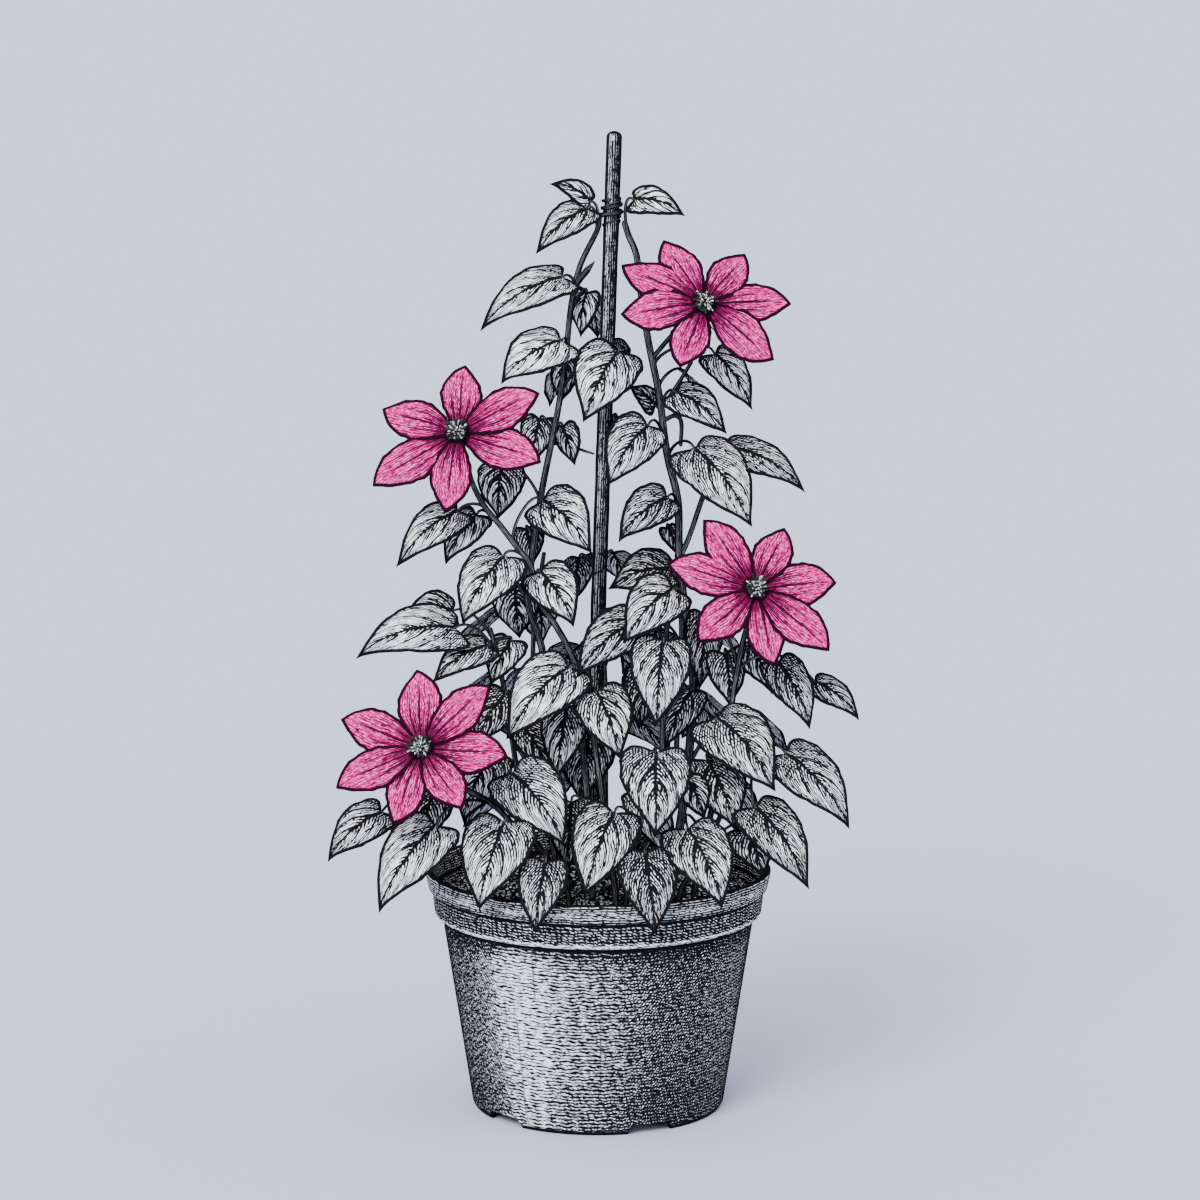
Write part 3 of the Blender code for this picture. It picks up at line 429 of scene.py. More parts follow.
def pot_plastic():
    """Grained plastic that carries hatching on its wall, its collar, its lip and its inside, dense where
    it paints shade.
    """
    material, tree, shader = matt_material("pot_plastic", 0.6)
    x, y, z = split(object_place(tree))
    turn = x.calc("ARCTAN2", y * -1) * math.degrees(1)
    around = turn * math.radians(STROKES_FIT_RADIUS)
    up = z * (1 / MM)
    top, collar_foot, lip_foot = POT_HEIGHT / MM, COLLAR_FOOT_HEIGHT / MM, LIP_FOOT_HEIGHT / MM
    # More ink in the 20 mm under the collar paints its shadow, and the wall's ink also thickens towards
    # the foot
    share = painted_shade_curve(turn, WALL_PAINTED_SHADES) + fade(up, collar_foot - 20, collar_foot - 2, 0, 0.3)
    wall_ink = wall_hatching(turn, around, up, share + fade(up, 70, 5, 0, 0.12))
    on_lip = fade(up, lip_foot - 0.5, lip_foot + 0.5)
    # The collar's bead, its lowest few millimetres, gets less ink as a painted highlight
    bead_highlight = fade(up, collar_foot + 4.6, collar_foot + 3.4)
    collar_share = painted_shade_curve(turn, COLLAR_PAINTED_SHADES) - darkest(on_lip * 0.16, bead_highlight * 0.5)
    collar_level = leaning(around, up, 0, 2.4, 6, collar_share - 0.12, 11)
    collar_ink = darkest(collar_level, leaning(around, up, -30, 2, 3, collar_share - 0.2, 13))
    # A painted highlight runs along the middle of the lip, with more ink towards its top and foot
    lip_share = collar_share + fade(abs(up - (lip_foot + 7)), 0.8, 5, -0.26, 0.3)
    lip_level = leaning(around, up, 0, 1.9, 13, lip_share, 29)
    collar_ink = collar_ink.toward(darkest(lip_level, leaning(around, up, -24, 2, 3.2, 0.3, 37)), on_lip)
    flat_ways = {0: normal_way(tree), 1: joined(x, y)}
    outward = put(tree, "ShaderNodeVectorMath", flat_ways, operation="DOT_PRODUCT").outputs["Value"]
    inside = fade(Value(outward), -0.02, -0.05)
    # Dense hatching on the inside paints the shade within the pot
    inner_level = leaning(around, up, 0, 2, 5, 0.78, 17)
    inner_ink = darkest(inner_level, leaning(around, up, -35, 2, 4, 0.5, 23))
    on_collar = fade(up, collar_foot - 2, collar_foot - 1)
    hatching = wall_ink.toward(collar_ink, on_collar).toward(inner_ink, inside)
    lines = [fade(up, 4.4, 3)]
    for height, (below, width) in ((lip_foot, LIP_SHADE_LINE), (collar_foot, COLLAR_SHADE_LINE), (top, TOP_LINE)):
        lines.append(fade(abs(up - (height - below)), width / 2 + 0.4, width / 2 - 0.3))
    side_line = fade(abs(turn), 79, 81) * fade(abs(turn), 90, 83, 0, 0.6) * (1 - inside)
    ink = darkest(hatching, side_line, *lines)
    draw_on(shader, inked(POT_PAPER, INK, ink), hatching, -0.2 * MM)
    return material


def make_pot():
    profile = [
        (0, FLOOR_TOP),
        (inner_wall_radius(FLOOR_TOP), FLOOR_TOP),
        (inner_wall_radius(INNER_STEP_LOW), INNER_STEP_LOW),
        (COLLAR_FOOT_RADIUS - WALL_THICKNESS, INNER_STEP_HIGH),
        (COLLAR_TOP_RADIUS - WALL_THICKNESS, LIP_FOOT_HEIGHT - 2 * MM),
        (RIM_RADIUS - 6.5 * MM, POT_HEIGHT - 2 * MM),
        (RIM_RADIUS - 4.5 * MM, POT_HEIGHT),
        (RIM_RADIUS - 1.2 * MM, POT_HEIGHT - 0.5 * MM),
        (RIM_RADIUS, POT_HEIGHT - 2.6 * MM),
        (LIP_FOOT_RADIUS, LIP_FOOT_HEIGHT),
        (COLLAR_TOP_RADIUS, LIP_FOOT_HEIGHT - 1 * MM),
        (COLLAR_FOOT_RADIUS + 0.6 * MM, COLLAR_FOOT_HEIGHT + 2.4 * MM),
        (COLLAR_FOOT_RADIUS - 1 * MM, COLLAR_FOOT_HEIGHT),
        (WALL_TOP_RADIUS, COLLAR_FOOT_HEIGHT - 2 * MM),
        (WALL_FOOT_RADIUS, FOOT_RISE),
        (FOOT_RADIUS, 0),
        (FOOT_RADIUS - 4 * MM, 0),
        (FOOT_RADIUS - 5 * MM, FLOOR_UNDERSIDE),
        (CENTRE_BOSS_RADIUS + 2 * MM, FLOOR_UNDERSIDE),
        (CENTRE_BOSS_RADIUS, 0),
        (0, 0),
    ]
    mesh = turned_mesh("pot_shell", rounded(profile), POT_TURN_STEPS)
    pot = finished_piece("pot_shell", mesh, "pot")
    shape = bmesh.new()
    bmesh.ops.create_cube(shape, size=1)
    bmesh.ops.scale(shape, vec=(NOTCH_DEPTH, NOTCH_WIDTH, 2 * NOTCH_HEIGHT), verts=shape.verts)
    along_wall = [edge for edge in shape.edges if abs((edge.verts[0].co - edge.verts[1].co).x) > MM]
    rounding = {"offset": NOTCH_CORNER, "segments": NOTCH_CORNER_STEPS, "profile": 0.5}
    bmesh.ops.bevel(shape, geom=along_wall, affect="EDGES", **rounding)
    notch = mesh_from("notch", shape)
    shape = bmesh.new()
    radii = {"radius1": DRAIN_HOLE_RADIUS, "radius2": DRAIN_HOLE_RADIUS}
    bmesh.ops.create_cone(shape, cap_ends=True, segments=DRAIN_HOLE_STEPS, depth=DRAIN_CUT_DEPTH, **radii)
    hole = mesh_from("drain_hole", shape)
    cuts = []
    for number in range(NOTCHES):
        turn = FIRST_NOTCH_TURN + number * math.tau / NOTCHES
        cuts.append((notch, Matrix.Rotation(turn, 4, "Z") @ Matrix.Translation((WALL_FOOT_RADIUS, 0, 0))))
    for number in range(DRAIN_HOLES):
        turn = FIRST_NOTCH_TURN + (number + 0.5) * math.tau / DRAIN_HOLES
        place = round_axis(DRAIN_HOLE_CIRCLE, turn, (FLOOR_UNDERSIDE + FLOOR_TOP) / 2)
        cuts.append((hole, Matrix.Translation(place)))
    cutters = []
    for mesh, place in cuts:
        cutter = in_scene("cutter", mesh)
        cutter.matrix_world = place
        boolean = pot.modifiers.new("cut", "BOOLEAN")
        boolean.operation = "DIFFERENCE"
        boolean.object = cutter
        cutters.append(cutter)
    bpy.context.view_layer.update()
    pot.data = as_modified(pot)
    pot.modifiers.clear()
    for cutter in cutters:
        bpy.data.objects.remove(cutter)
    coat(pot.data, POT_SHARP_FROM, pot_plastic())


make_pot()

# Soil. Dark potting compost, heaped loosely to about 20 mm below the rim, with crumbs lying on it.
# The stems and the cane are set in it and come up out of it.
SOIL_HEIGHT = 170 * MM
SOIL_BUMP = 2.2 * MM
SOIL_ROUGHNESS = 0.9 * MM
SOIL_WALL_GAP = 0.5 * MM
SOIL_EDGE = COLLAR_FOOT_RADIUS - WALL_THICKNESS - SOIL_WALL_GAP
# The soil falls this far from a share of its radius out to its edge
SOIL_EDGE_DROP = 3 * MM
SOIL_DROPS_FROM = 0.86
SOIL_RINGS = 26
SOIL_TURN_STEPS = 96
SOIL_PAPER = (0.6, 0.605, 0.62, 1)
CRUMBS = 420
CRUMB_RADIUS = (0.8 * MM, 3.2 * MM)
# A crumb's width and thickness as shares of its length, and how far its corners stray from round
CRUMB_WIDTH = (0.5, 0.9)
CRUMB_THICKNESS = (0.4, 0.8)
CRUMB_CORNERS = (0.75, 1.15)
CRUMBS_WITHIN = 0.97 * SOIL_EDGE
# How far a crumb's middle is above the soil, as a share of its radius
CRUMB_LIFT = 0.3
SOIL_SHARP_FROM = 50


def soil_top(x, y, radius):
    """The soil's rough top, as a sum of a few waves that don't repeat in step, lower at its edge."""
    a, b = x / MM, y / MM
    waves = math.sin(0.11 * a + 0.07 * b) + math.sin(0.05 * a - 0.16 * b + 1)
    waves += math.sin(0.21 * a + 0.13 * b + 2)
    drop = SOIL_EDGE_DROP * max(0, (radius / SOIL_EDGE - SOIL_DROPS_FROM) / (1 - SOIL_DROPS_FROM))
    return SOIL_HEIGHT + SOIL_BUMP * waves / 3 - drop


def soil_earth():
    """Near-black crumbly compost, speckled with lighter bark and grit."""
    material, tree, shader = matt_material("potting_compost", 0.95)
    place = object_place(tree)
    clods = noise(place, 420, 3)
    grains = Value(put(tree, "ShaderNodeTexVoronoi", {"Vector": place, "Scale": 300}).outputs["Distance"])
    ink = darkest(fade(clods, 0.5, 0.6), 1 - fade(grains, 0.42, 0.3))
    draw_on(shader, inked(SOIL_PAPER, INK, ink), clods, 1.2 * MM)
    return material


def make_soil():
    chance = random.Random("soil")
    low = FLOOR_TOP + SOIL_WALL_GAP
    turns = [step * math.tau / SOIL_TURN_STEPS for step in range(SOIL_TURN_STEPS)]
    shape = bmesh.new()
    rings = []
    for ring in range(1, SOIL_RINGS + 1):
        radius = (SOIL_EDGE + 1 * MM) * (ring / SOIL_RINGS) ** 0.8
        row = []
        for turn in turns:
            x, y, _ = round_axis(radius, turn)
            rough = chance.uniform(-SOIL_ROUGHNESS, SOIL_ROUGHNESS) if ring < SOIL_RINGS else 0
            row.append(shape.verts.new((x, y, soil_top(x, y, radius) + rough)))
        rings.append(row)
    for radius, height in (
        (SOIL_EDGE, INNER_STEP_HIGH + SOIL_WALL_GAP),
        (inner_wall_radius(INNER_STEP_LOW) - SOIL_WALL_GAP, INNER_STEP_LOW + SOIL_WALL_GAP),
        (inner_wall_radius(low) - SOIL_WALL_GAP, low),
    ):
        rings.append([shape.verts.new(round_axis(radius, turn, height)) for turn in turns])
    for inner, outer in zip(rings, rings[1:]):
        for step in range(SOIL_TURN_STEPS):
            after = (step + 1) % SOIL_TURN_STEPS
            shape.faces.new((inner[step], outer[step], outer[after], inner[after]))
    shape.faces.new(rings[0])
    shape.faces.new(list(reversed(rings[-1])))
    for _ in range(CRUMBS):
        turn, radius = chance.uniform(0, math.tau), CRUMBS_WITHIN * math.sqrt(chance.random())
        x, y, _ = round_axis(radius, turn)
        size = chance.uniform(*CRUMB_RADIUS)
        spin = Matrix.Rotation(chance.uniform(0, math.tau), 4, (chance.random(), 1, chance.random()))
        sizes = (size, size * chance.uniform(*CRUMB_WIDTH), size * chance.uniform(*CRUMB_THICKNESS), 1)
        squash = Matrix.Diagonal(sizes)
        place = Matrix.Translation((x, y, soil_top(x, y, radius) + size * CRUMB_LIFT)) @ spin @ squash
        for vertex in bmesh.ops.create_icosphere(shape, subdivisions=1, radius=1)["verts"]:
            vertex.co *= chance.uniform(*CRUMB_CORNERS)
            vertex.co = place @ vertex.co
    mesh = mesh_from("soil_bed", shape)
    coat(mesh, SOIL_SHARP_FROM, soil_earth())
    finished_piece("soil_bed", mesh, "soil")


make_soil()

# Cane. A plain 12 mm rod that is pushed down into the soil and leans a little to the right.
# Lengthwise strokes darken it, most on its right as painted shade, and leave a pale streak on its left as
# a painted highlight and a pale painted highlight near its end.
CANE_RADIUS = 6 * MM
CANE_FOOT = Vector((-12.5, 0, 60)) * MM
CANE_TOP = Vector((11, 0, 762)) * MM
CANE_DOME = 4.5 * MM
CANE_STEPS = 90
CANE_TURN_STEPS = 32
CANE_DOME_STEP = 9
ALL_SMOOTH = 180
CANE_RIPPLE = 0.18 * MM
CANE_RIPPLE_LENGTHS = (31 * MM, 7 * MM)
CANE_PAPER = (0.5, 0.51, 0.53, 1)
# The pale oval drawn on the cane's end, a painted highlight: how far below the end, its half height, half
# width, and how far left of the middle in half widths, all but the last in millimetres
END_HIGHLIGHT_OVAL = (5.4, 2.0, 1.3, 0.5)
# The plant and its cane stand a little to the right of the pot's middle, and are placed from there
PLANT_SET_OFF = (1.5 * MM, 0, 0)


def cane_wood():
    material, tree, shader = matt_material("cane_wood", 0.6)
    x, y, z = split(object_place(tree))
    up, top = z * (1 / MM), CANE_TOP.z / MM
    lean = (CANE_TOP.x - CANE_FOOT.x) / (CANE_TOP.z - CANE_FOOT.z)
    sideways = x - ((z - CANE_FOOT.z) * lean + CANE_FOOT.x)
    turn = sideways.calc("ARCTAN2", y * -1)
    off_front = abs(turn)
    around = turn * (CANE_RADIUS / MM)
    # More ink on the right is painted shade and less on the left a painted highlight; the ink also
    # thickens towards the bottom and thins round the back
    share = fade(turn, -0.35, 0.3, 0.36, 0.92) + fade(up, 660, 300, 0, 0.08)
    share = share + fade(off_front, 1.3, 1.8, 0, -0.4)
    strokes = pen_strokes(around, up, 1.9, 13, share, 2)
    specks = pen_strokes(around, up, 1.7, 2.6, share - 0.1, 5)
    edges = darkest(fade(turn, -0.6, -0.72), fade(turn, 0.6, 0.74)) * fade(off_front, 1.6, 1.35)
    crown = fade(up, top - 2.4, top - 1.6)
    below, half_height, half_width, left = END_HIGHLIGHT_OVAL
    off_end = ((up - (top - below)) / half_height).calc("POWER", 2)
    off_middle = (sideways / (half_width * MM) + left).calc("POWER", 2)
    ink = darkest(strokes, specks, edges, crown) * (1 - fade(off_end + off_middle, 1.1, 0.8))
    draw_on(shader, inked(CANE_PAPER, INK, ink), ink, -0.3 * MM)
    return material


def make_cane():
    length = (CANE_TOP - CANE_FOOT).length
    profile = [(0, 0), (CANE_RADIUS - 1 * MM, 0), (CANE_RADIUS, 1 * MM)]
    for step in range(1, CANE_STEPS):
        height = (length - CANE_DOME) * step / CANE_STEPS
        ripple = CANE_RIPPLE * math.prod(math.sin(height / wave) for wave in CANE_RIPPLE_LENGTHS)
        profile.append((CANE_RADIUS + ripple, height))
    for degrees in range(0, 90, CANE_DOME_STEP):
        lift = math.radians(degrees)
        profile.append((CANE_RADIUS * math.cos(lift), length - CANE_DOME * (1 - math.sin(lift))))
    profile.append((0, length))
    mesh = turned_mesh("cane_rod", profile, CANE_TURN_STEPS)
    upright_to_lean = (CANE_TOP - CANE_FOOT).to_track_quat("Z", "Y").to_matrix().to_4x4()
    mesh.transform(Matrix.Translation(CANE_FOOT) @ upright_to_lean)
    coat(mesh, ALL_SMOOTH, cane_wood())
    finished_piece("cane_rod", mesh, "cane", PLANT_SET_OFF)


make_cane()

# Leafy stems. Each is a woody vine that rises out of the soil, with leaves on curved stalks of their own.
# A leaf is a thin heart-shaped blade with a sunken midrib and arching side veins, inked on pale paper.
# The left vine winds twice round the cane at its tip and holds the plant to it.

# Each stem's radius at the foot and at the top, then its way up from the soil, in millimetres
STEMS = {
    "vine_left": (
        (3.4, 2.2),
        (-26, -8, 178), (-32, -12, 250), (-40, -13, 324), (-45, -12, 365), (-56, -10, 402),
        (-52, -8, 438), (-45, -4, 485), (-37, 0, 525), (-31, 0, 556), (-26, 0, 592), (-22, 0, 630),
        (-15, -1, 660), (-2.4, -1, 686), (-0.3, 0, 697),
    ),
    "vine_right": (
        (4, 2.5),
        (56, -6, 178), (66, -9, 250), (72, -10, 320), (71, -9, 360), (65, -8, 399),
        (61, -6, 441), (60, -4, 479), (51.5, 0, 515), (45.5, 0, 560), (37, 0, 602), (31, 0, 641),
        (28, 0, 667), (22, 0, 682), (18.8, -1, 692),
    ),
    "bloom_left_stem": (
        (3.0, 2.1),
        (-6, -36, 178), (-10, -36, 250), (-15, -36, 313), (-19, -36, 356), (-34, -38, 387),
        (-46, -38, 405), (-53, -40, 434), (-62, -40, 446), (-76, -42, 465), (-88, -44, 480),
        (-98, -42, 500),
    ),
    "outer_left_stem": (
        (2.8, 1.9),
        (-52, -14, 178), (-60, -20, 240), (-70, -28, 310), (-78, -34, 360), (-84, -38, 384),
    ),
    "low_left_stem": (
        (2.8, 2.1),
        (-46, -38, 178), (-58, -52, 220), (-80, -70, 252), (-104, -86, 270), (-124, -94, 284),
    ),
    "middle_stem": (
        (2.8, 1.9),
        (12, -46, 178), (4, -54, 240), (-4, -60, 300), (-8, -62, 340), (-10, -64, 362),
    ),
    "front_right_stem": (
        (2.8, 1.9),
        (34, -40, 178), (46, -54, 240), (48, -60, 310), (50, -58, 380), (60, -54, 422),
    ),
    "bloom_right_stem": (
        (3.0, 2.1),
        (74, -22, 178), (88, -32, 250), (100, -42, 320), (108, -46, 370), (114, -50, 394),
    ),
    "low_right_stem": (
        (2.7, 1.9),
        (62, -44, 178), (80, -52, 214), (100, -50, 256), (122, -48, 298),
    ),
    "front_left_stem": (
        (2.6, 1.8),
        (-24, -56, 178), (-40, -78, 214), (-58, -94, 242), (-70, -90, 272),
    ),
    "front_middle_stem": (
        (2.6, 1.8),
        (20, -68, 178), (26, -86, 214), (32, -96, 252), (38, -96, 292),
    ),
    "back_left_stem": (
        (2.8, 1.9),
        (-34, 30, 178), (-44, 42, 240), (-52, 48, 310), (-52, 48, 370), (-44, 44, 430),
    ),
    "back_middle_stem": (
        (3.0, 2.0),
        (6, 36, 178), (4, 40, 240), (4, 38, 320), (0, 32, 400), (1, 24, 480), (4, 20, 550), (6, 18, 590),
    ),
    "back_right_stem": (
        (2.8, 1.9),
        (48, 32, 178), (58, 42, 240), (62, 48, 310), (64, 46, 370), (60, 40, 430),
    ),
    "low_back_left_stem": (
        (2.6, 1.8),
        (-16, 60, 178), (-38, 86, 220), (-62, 106, 256), (-84, 116, 286),
    ),
    "low_back_right_stem": (
        (2.6, 1.8),
        (32, 62, 178), (54, 88, 220), (76, 108, 256), (94, 118, 286),
    ),
}

# Each leaf's stalk end and tip in millimetres, its width, the height at which its stalk leaves the stem
# and its share of ink, which also paints shade: leaves deep in the plant and at its back carry more
LEAVES = {
    "vine_left": (
        ((-7, -6, 709), (-39, -10, 722), 19, 690, 0.06),
        ((-9, -8, 704), (-49, -26, 670), 30, 684, 0.17),
        ((-28, -10, 652), (-91, -34, 612), 36, 643, 0.17),
        ((-10, 8, 639), (-15, 12, 603), 26, 625, 0.06),
        ((-29, -14, 604), (-75, -44, 573), 44, 585, 0.06),
        ((-24, 6, 588), (-31, 8, 552), 28, 575, 0.25),
        ((14, -20, 596), (-13, -44, 544), 50, 560, 0.17),
        ((-46, 9, 541), (-52, 7, 504), 32, 526, 0.25),
        ((-29, 7, 536), (-19, 8, 504), 23, 515, 0.17),
        ((-57, 1, 457), (-51, -3, 428), 27, 445, 0.41),
        ((-66, 2, 412), (-62, 0, 370), 44, 392, 0.33),
        ((-76, 6, 504), (-79, 2, 463), 42, 476, 0.25),
        ((-30, 26, 580), (-40, 56, 544), 30, 566, 0.17),
        ((-8, 24, 632), (-2, 54, 598), 26, 620, 0.06),
    ),
    "vine_right": (
        ((25.5, -12, 711), (65, -14, 698), 26, 684, 0.06),
        ((58, -14, 564), (97, -28, 533), 34, 548, 0.25),
        ((88, 2, 592), (117, -6, 549), 34, 580, 0.17),
        ((43, 4, 551), (21, 6, 566), 22, 541, 0.33),
        ((37, -24, 540), (5, -44, 495), 42, 518, 0.17),
        ((72, -32, 523), (115.5, -60, 466), 54, 508, 0.25),
        ((99, -8, 521), (157, -28, 488), 33, 496, 0.41),
        ((52, -20, 484), (14, -40, 451), 35, 470, 0.25),
        ((54, -2, 425), (6, -8, 410), 37, 408, 0.33),
        ((52, 6, 457), (60, 4, 434), 18, 445, 0.06),
        ((54, 22, 640), (88, 46, 606), 34, 622, 0.41),
        ((66, 24, 575), (94, 52, 538), 32, 562, 0.5),
        ((78, 26, 510), (106, 56, 468), 36, 496, 0.41),
    ),
    "bloom_left_stem": (
        ((-108, -38, 476), (-155, -58, 435), 36, 478, 0.17),
        ((-94, -30, 472), (-118, -40, 434), 32, 470, 0.06),
        ((-44, -34, 483), (-6, -60, 446), 44, 450, 0.17),
        ((-73, -50, 443), (-104, -76, 393), 47, 440, 0.17),
        ((-46, -44, 430), (-20, -66, 390), 40, 412, 0.17),
    ),
    "outer_left_stem": (
        ((-110, -52, 388), (-185, -80, 368), 43, 356, 0.17),
        ((-112, -34, 398), (-150, -46, 396), 30, 370, 0.25),
        ((-86, -46, 373), (-128, -66, 347), 30, 355, 0.25),
        ((-68, -32, 375), (-84, -43, 341), 32, 372, 0.17),
        ((-72, -40, 334), (-96, -52, 296), 40, 306, 0.5),
        ((-58, -42, 308), (-38, -56, 273), 30, 280, 0.41),
    ),
    "low_left_stem": (
        ((-166, -76, 250), (-207, -90, 213), 36, 262, 0.25),
        ((-124, -112, 247), (-165.5, -142, 186), 48, 250, 0.17),
        ((-84, -60, 290), (-104, -76, 240), 44, 250, 0.25),
        ((-128, -62, 262), (-136, -78, 222), 38, 240, 0.41),
    ),
    "middle_stem": (
        ((-23, -72, 361), (-71, -101, 310), 50, 345, 0.17),
        ((-25, -48, 326), (-32, -60, 271), 38, 300, 0.33),
        ((-3, -76, 343), (16, -98, 294), 44, 322, 0.25),
        ((-8, -24, 300), (-14, -30, 246), 46, 272, 0.41),
        ((-22, -54, 253), (-24, -72, 202), 40, 225, 0.5),
    ),
    "front_right_stem": (
        ((30, -58, 395), (-18, -80, 353), 40, 385, 0.33),
        ((22, -34, 402), (46, -36, 366), 36, 372, 0.33),
        ((56, -64, 420), (17, -86, 381), 43, 420, 0.17),
        ((48, -76, 382), (41, -104, 320), 48, 352, 0.25),
        ((36, -36, 352), (30, -44, 307), 36, 325, 0.5),
        ((70, -44, 338), (50, -58, 294), 34, 312, 0.41),
        ((30, -66, 262), (52, -84, 211), 34, 240, 0.33),
        ((66, -70, 274), (80, -82, 244), 28, 258, 0.25),
    ),
    "bloom_right_stem": (
        ((89, -62, 320), (133, -96, 269), 56, 300, 0.33),
        ((82, -54, 286), (102, -76, 235), 50, 264, 0.41),
        ((96, -26, 364), (101, -34, 322), 34, 340, 0.25),
        ((136, -48, 361), (160, -66, 311), 37, 350, 0.41),
        ((165, -30, 342), (199, -46, 314), 26, 362, 0.25),
        ((82, -20, 392), (76, -28, 334), 34, 350, 0.41),
        ((114, -36, 372), (132, -44, 334), 32, 362, 0.17),
        ((104, -36, 262), (112, -52, 216), 29, 238, 0.17),
    ),
    "low_right_stem": (
        ((141, -70, 294), (189, -96, 240), 46, 288, 0.33),
        ((118, -84, 255), (158, -116, 198), 44, 284, 0.41),
        ((66, -112, 245), (91, -150, 191), 51, 208, 0.33),
        ((112, -60, 232), (124, -78, 198), 36, 212, 0.41),
    ),
    "front_left_stem": (
        ((-72, -112, 250), (-90, -147, 189), 55, 238, 0.25),
        ((-67, -96, 284), (-27, -118, 231), 52, 270, 0.25),
        ((-41, -126, 222), (-48, -154, 173), 38, 206, 0.41),
    ),
    "front_middle_stem": (
        ((42, -108, 303), (41, -138, 243), 55, 290, 0.33),
        ((11, -112, 257), (-12, -140, 198), 50, 234, 0.25),
        ((34, -124, 229), (40, -156, 172), 46, 212, 0.5),
    ),
    "back_middle_stem": (
        ((8, 32, 600), (14, 60, 560), 30, 584, 0.5),
        ((13, 34, 540), (20, 60, 508), 22, 520, 0.5),
        ((-16, 30, 430), (-22, 50, 386), 34, 414, 0.41),
        ((10, 30, 434), (22, 54, 402), 32, 420, 0.06),
    ),
}

# Side twigs: the places along each, with its radius there, in millimetres. The left vine's first is a bud
TWIGS = {
    "vine_left": (
        ((-20.5, -1, 638, 1.8), (-17, -3, 647, 2.6), (-10, -4, 656, 2.7), (-4.5, -4, 662.5, 0.7)),
        ((-38, 0, 522, 1.4), (-27, 13, 521, 1.2), (-14, 12, 516, 1.2), (-5, 9, 513.5, 0.9)),
    ),
    "vine_right": (
        ((61.5, -6, 434, 2.4), (69, -8, 452, 2.2), (79, -9, 482, 2.2), (86, -12, 500, 1.6)),
        ((50, 0, 541, 2), (58, -2, 544.5, 2), (62.5, -3, 539, 1.9), (62, -5, 522, 1.6)),
        ((49, -1, 552, 2), (58, -4, 566, 1.9), (70, -6, 586, 1.5)),
    ),
}

# Leaves at the back grow by rule: a pair on the stem at each step up, each pair turned from the last.
# Each stem has the lowest and highest pair's height, and the turn that the pairs look out at.
BACK_STEMS = {
    "back_left_stem": (326, 376, 126),
    "back_middle_stem": (292, 346, 84),
    "back_right_stem": (310, 424, 78),
    "low_back_left_stem": (228, 290, 125),
    "low_back_right_stem": (232, 290, 60),
}
BACK_LEAF_STEP = 50
# Degrees that the leaves of a pair stand off to each side, for one pair and the next, and stray by
BACK_LEAF_SPREADS = (34, 48)
BACK_LEAF_STRAY = 8
# Millimetres from the stem out and up to a back leaf, its stalk's drop to the stem, and its length
BACK_LEAF_REACH = (22, 34)
BACK_LEAF_RISE = (6, 14)
BACK_STALK_DROP = 6
BACK_LEAF_LENGTH = (52, 68)
# A back leaf's width as a share of its length, and how far it runs out and down for each unit of it
BACK_LEAF_WIDTH = (0.6, 0.7)
BACK_LEAF_OUT = 0.72
BACK_LEAF_DOWN = Vector((0, 0, 0.69))

# Each bloom's middle in millimetres, the way it faces in degrees round and up, and its tepals
# as degrees clockwise from the top, length and width in millimetres
BLOOMS = {
    "bloom_top_right": (
        (78.5, -50, 635), (8, 22),
        (331, 58, 31), (41, 51, 30), (91, 67, 31), (132, 68, 35), (203, 54, 31), (263, 65, 33),
        (297, 69, 31),
    ),
    "bloom_left": (
        (-107.5, -56, 537.5), (-8, 26),
        (2, 55, 33), (62, 69, 34), (109, 69, 35), (185, 64, 33), (235, 76, 35), (287, 62, 33),
    ),
    "bloom_right": (
        (117.5, -76, 421.5), (8, 22),
        (326, 66, 33), (28, 53, 31), (87, 63, 35), (133, 73, 34), (169, 61, 31), (229, 62, 33),
        (287, 70, 33),
    ),
    "bloom_low_left": (
        (-133.5, -122, 308), (-8, 26),
        (352, 62, 35), (45, 70, 33), (94, 66, 35), (144, 58, 31), (197, 62, 31), (242, 71, 33),
        (288, 67, 34),
    ),
}

# The bloom that each carrying stem ends in
BLOOM_ON = {
    "bloom_left_stem": "bloom_left", "bloom_right_stem": "bloom_right", "low_left_stem": "bloom_low_left",
}
# The bloom on a stalk that leaves its stem part of the way up: the height, then the points on its way
STALKED_BLOOM = ("bloom_top_right", "vine_right", 588, (52, -12, 604), (66, -26, 620))
STEM_ROOT_HEIGHT = 148
STEM_SIDES = 10
STEM_STEPS = 4
# A stem with more points than this has enough of them for its leaves to sit right on its curve
LONG_STEM_POINTS = 8
STALK_SIDES = 8
STALK_STEPS = 12
STALK_RADIUS = (1.5, 1.05)
STALK_TONE = 0.5
BLOOM_STALK_RADIUS = 2.0
STALK_END_LENGTH = 14
RECEPTACLE_DEPTH = 3
SEAT_GAP = 0.3
TWIG_STEPS = 5
TWIG_TONE = 0.3
GRIPPING_STEM = "vine_left"
# The grip of that stem's tip on the cane: height, rise, first turn and turns in all in degrees, then the
# shares of its way at which its distance from the cane's middle and its radius are given
GRIP = (698, 12, 180, 790)
GRIP_SHARES = (0, 0.12, 1)
GRIP_REACHES = (9, 7.5, 7.1)
GRIP_RADII = (2.2, 1.8, 1.2)
GRIP_TONE = 0.2
WINDING_STEPS = 96
# Fine tendrils wound over and under the grip: height, rise, first turn and turns in all in degrees
TENDRILS = ((686, 26, 60, 700), (712, -20, 110, -500))
TENDRIL_RADIUS = 0.8
TENDRIL_SIDES = 6
TENDRIL_REACH = 6.7
TENDRIL_WOBBLE = 0.3
TENDRIL_WAVES = 31
TENDRIL_TONE = 0.35
BLADE_THICKNESS = 1.0
# Blades narrower than this, in millimetres, have smaller waves and pleats
WIDE_BLADE = 34
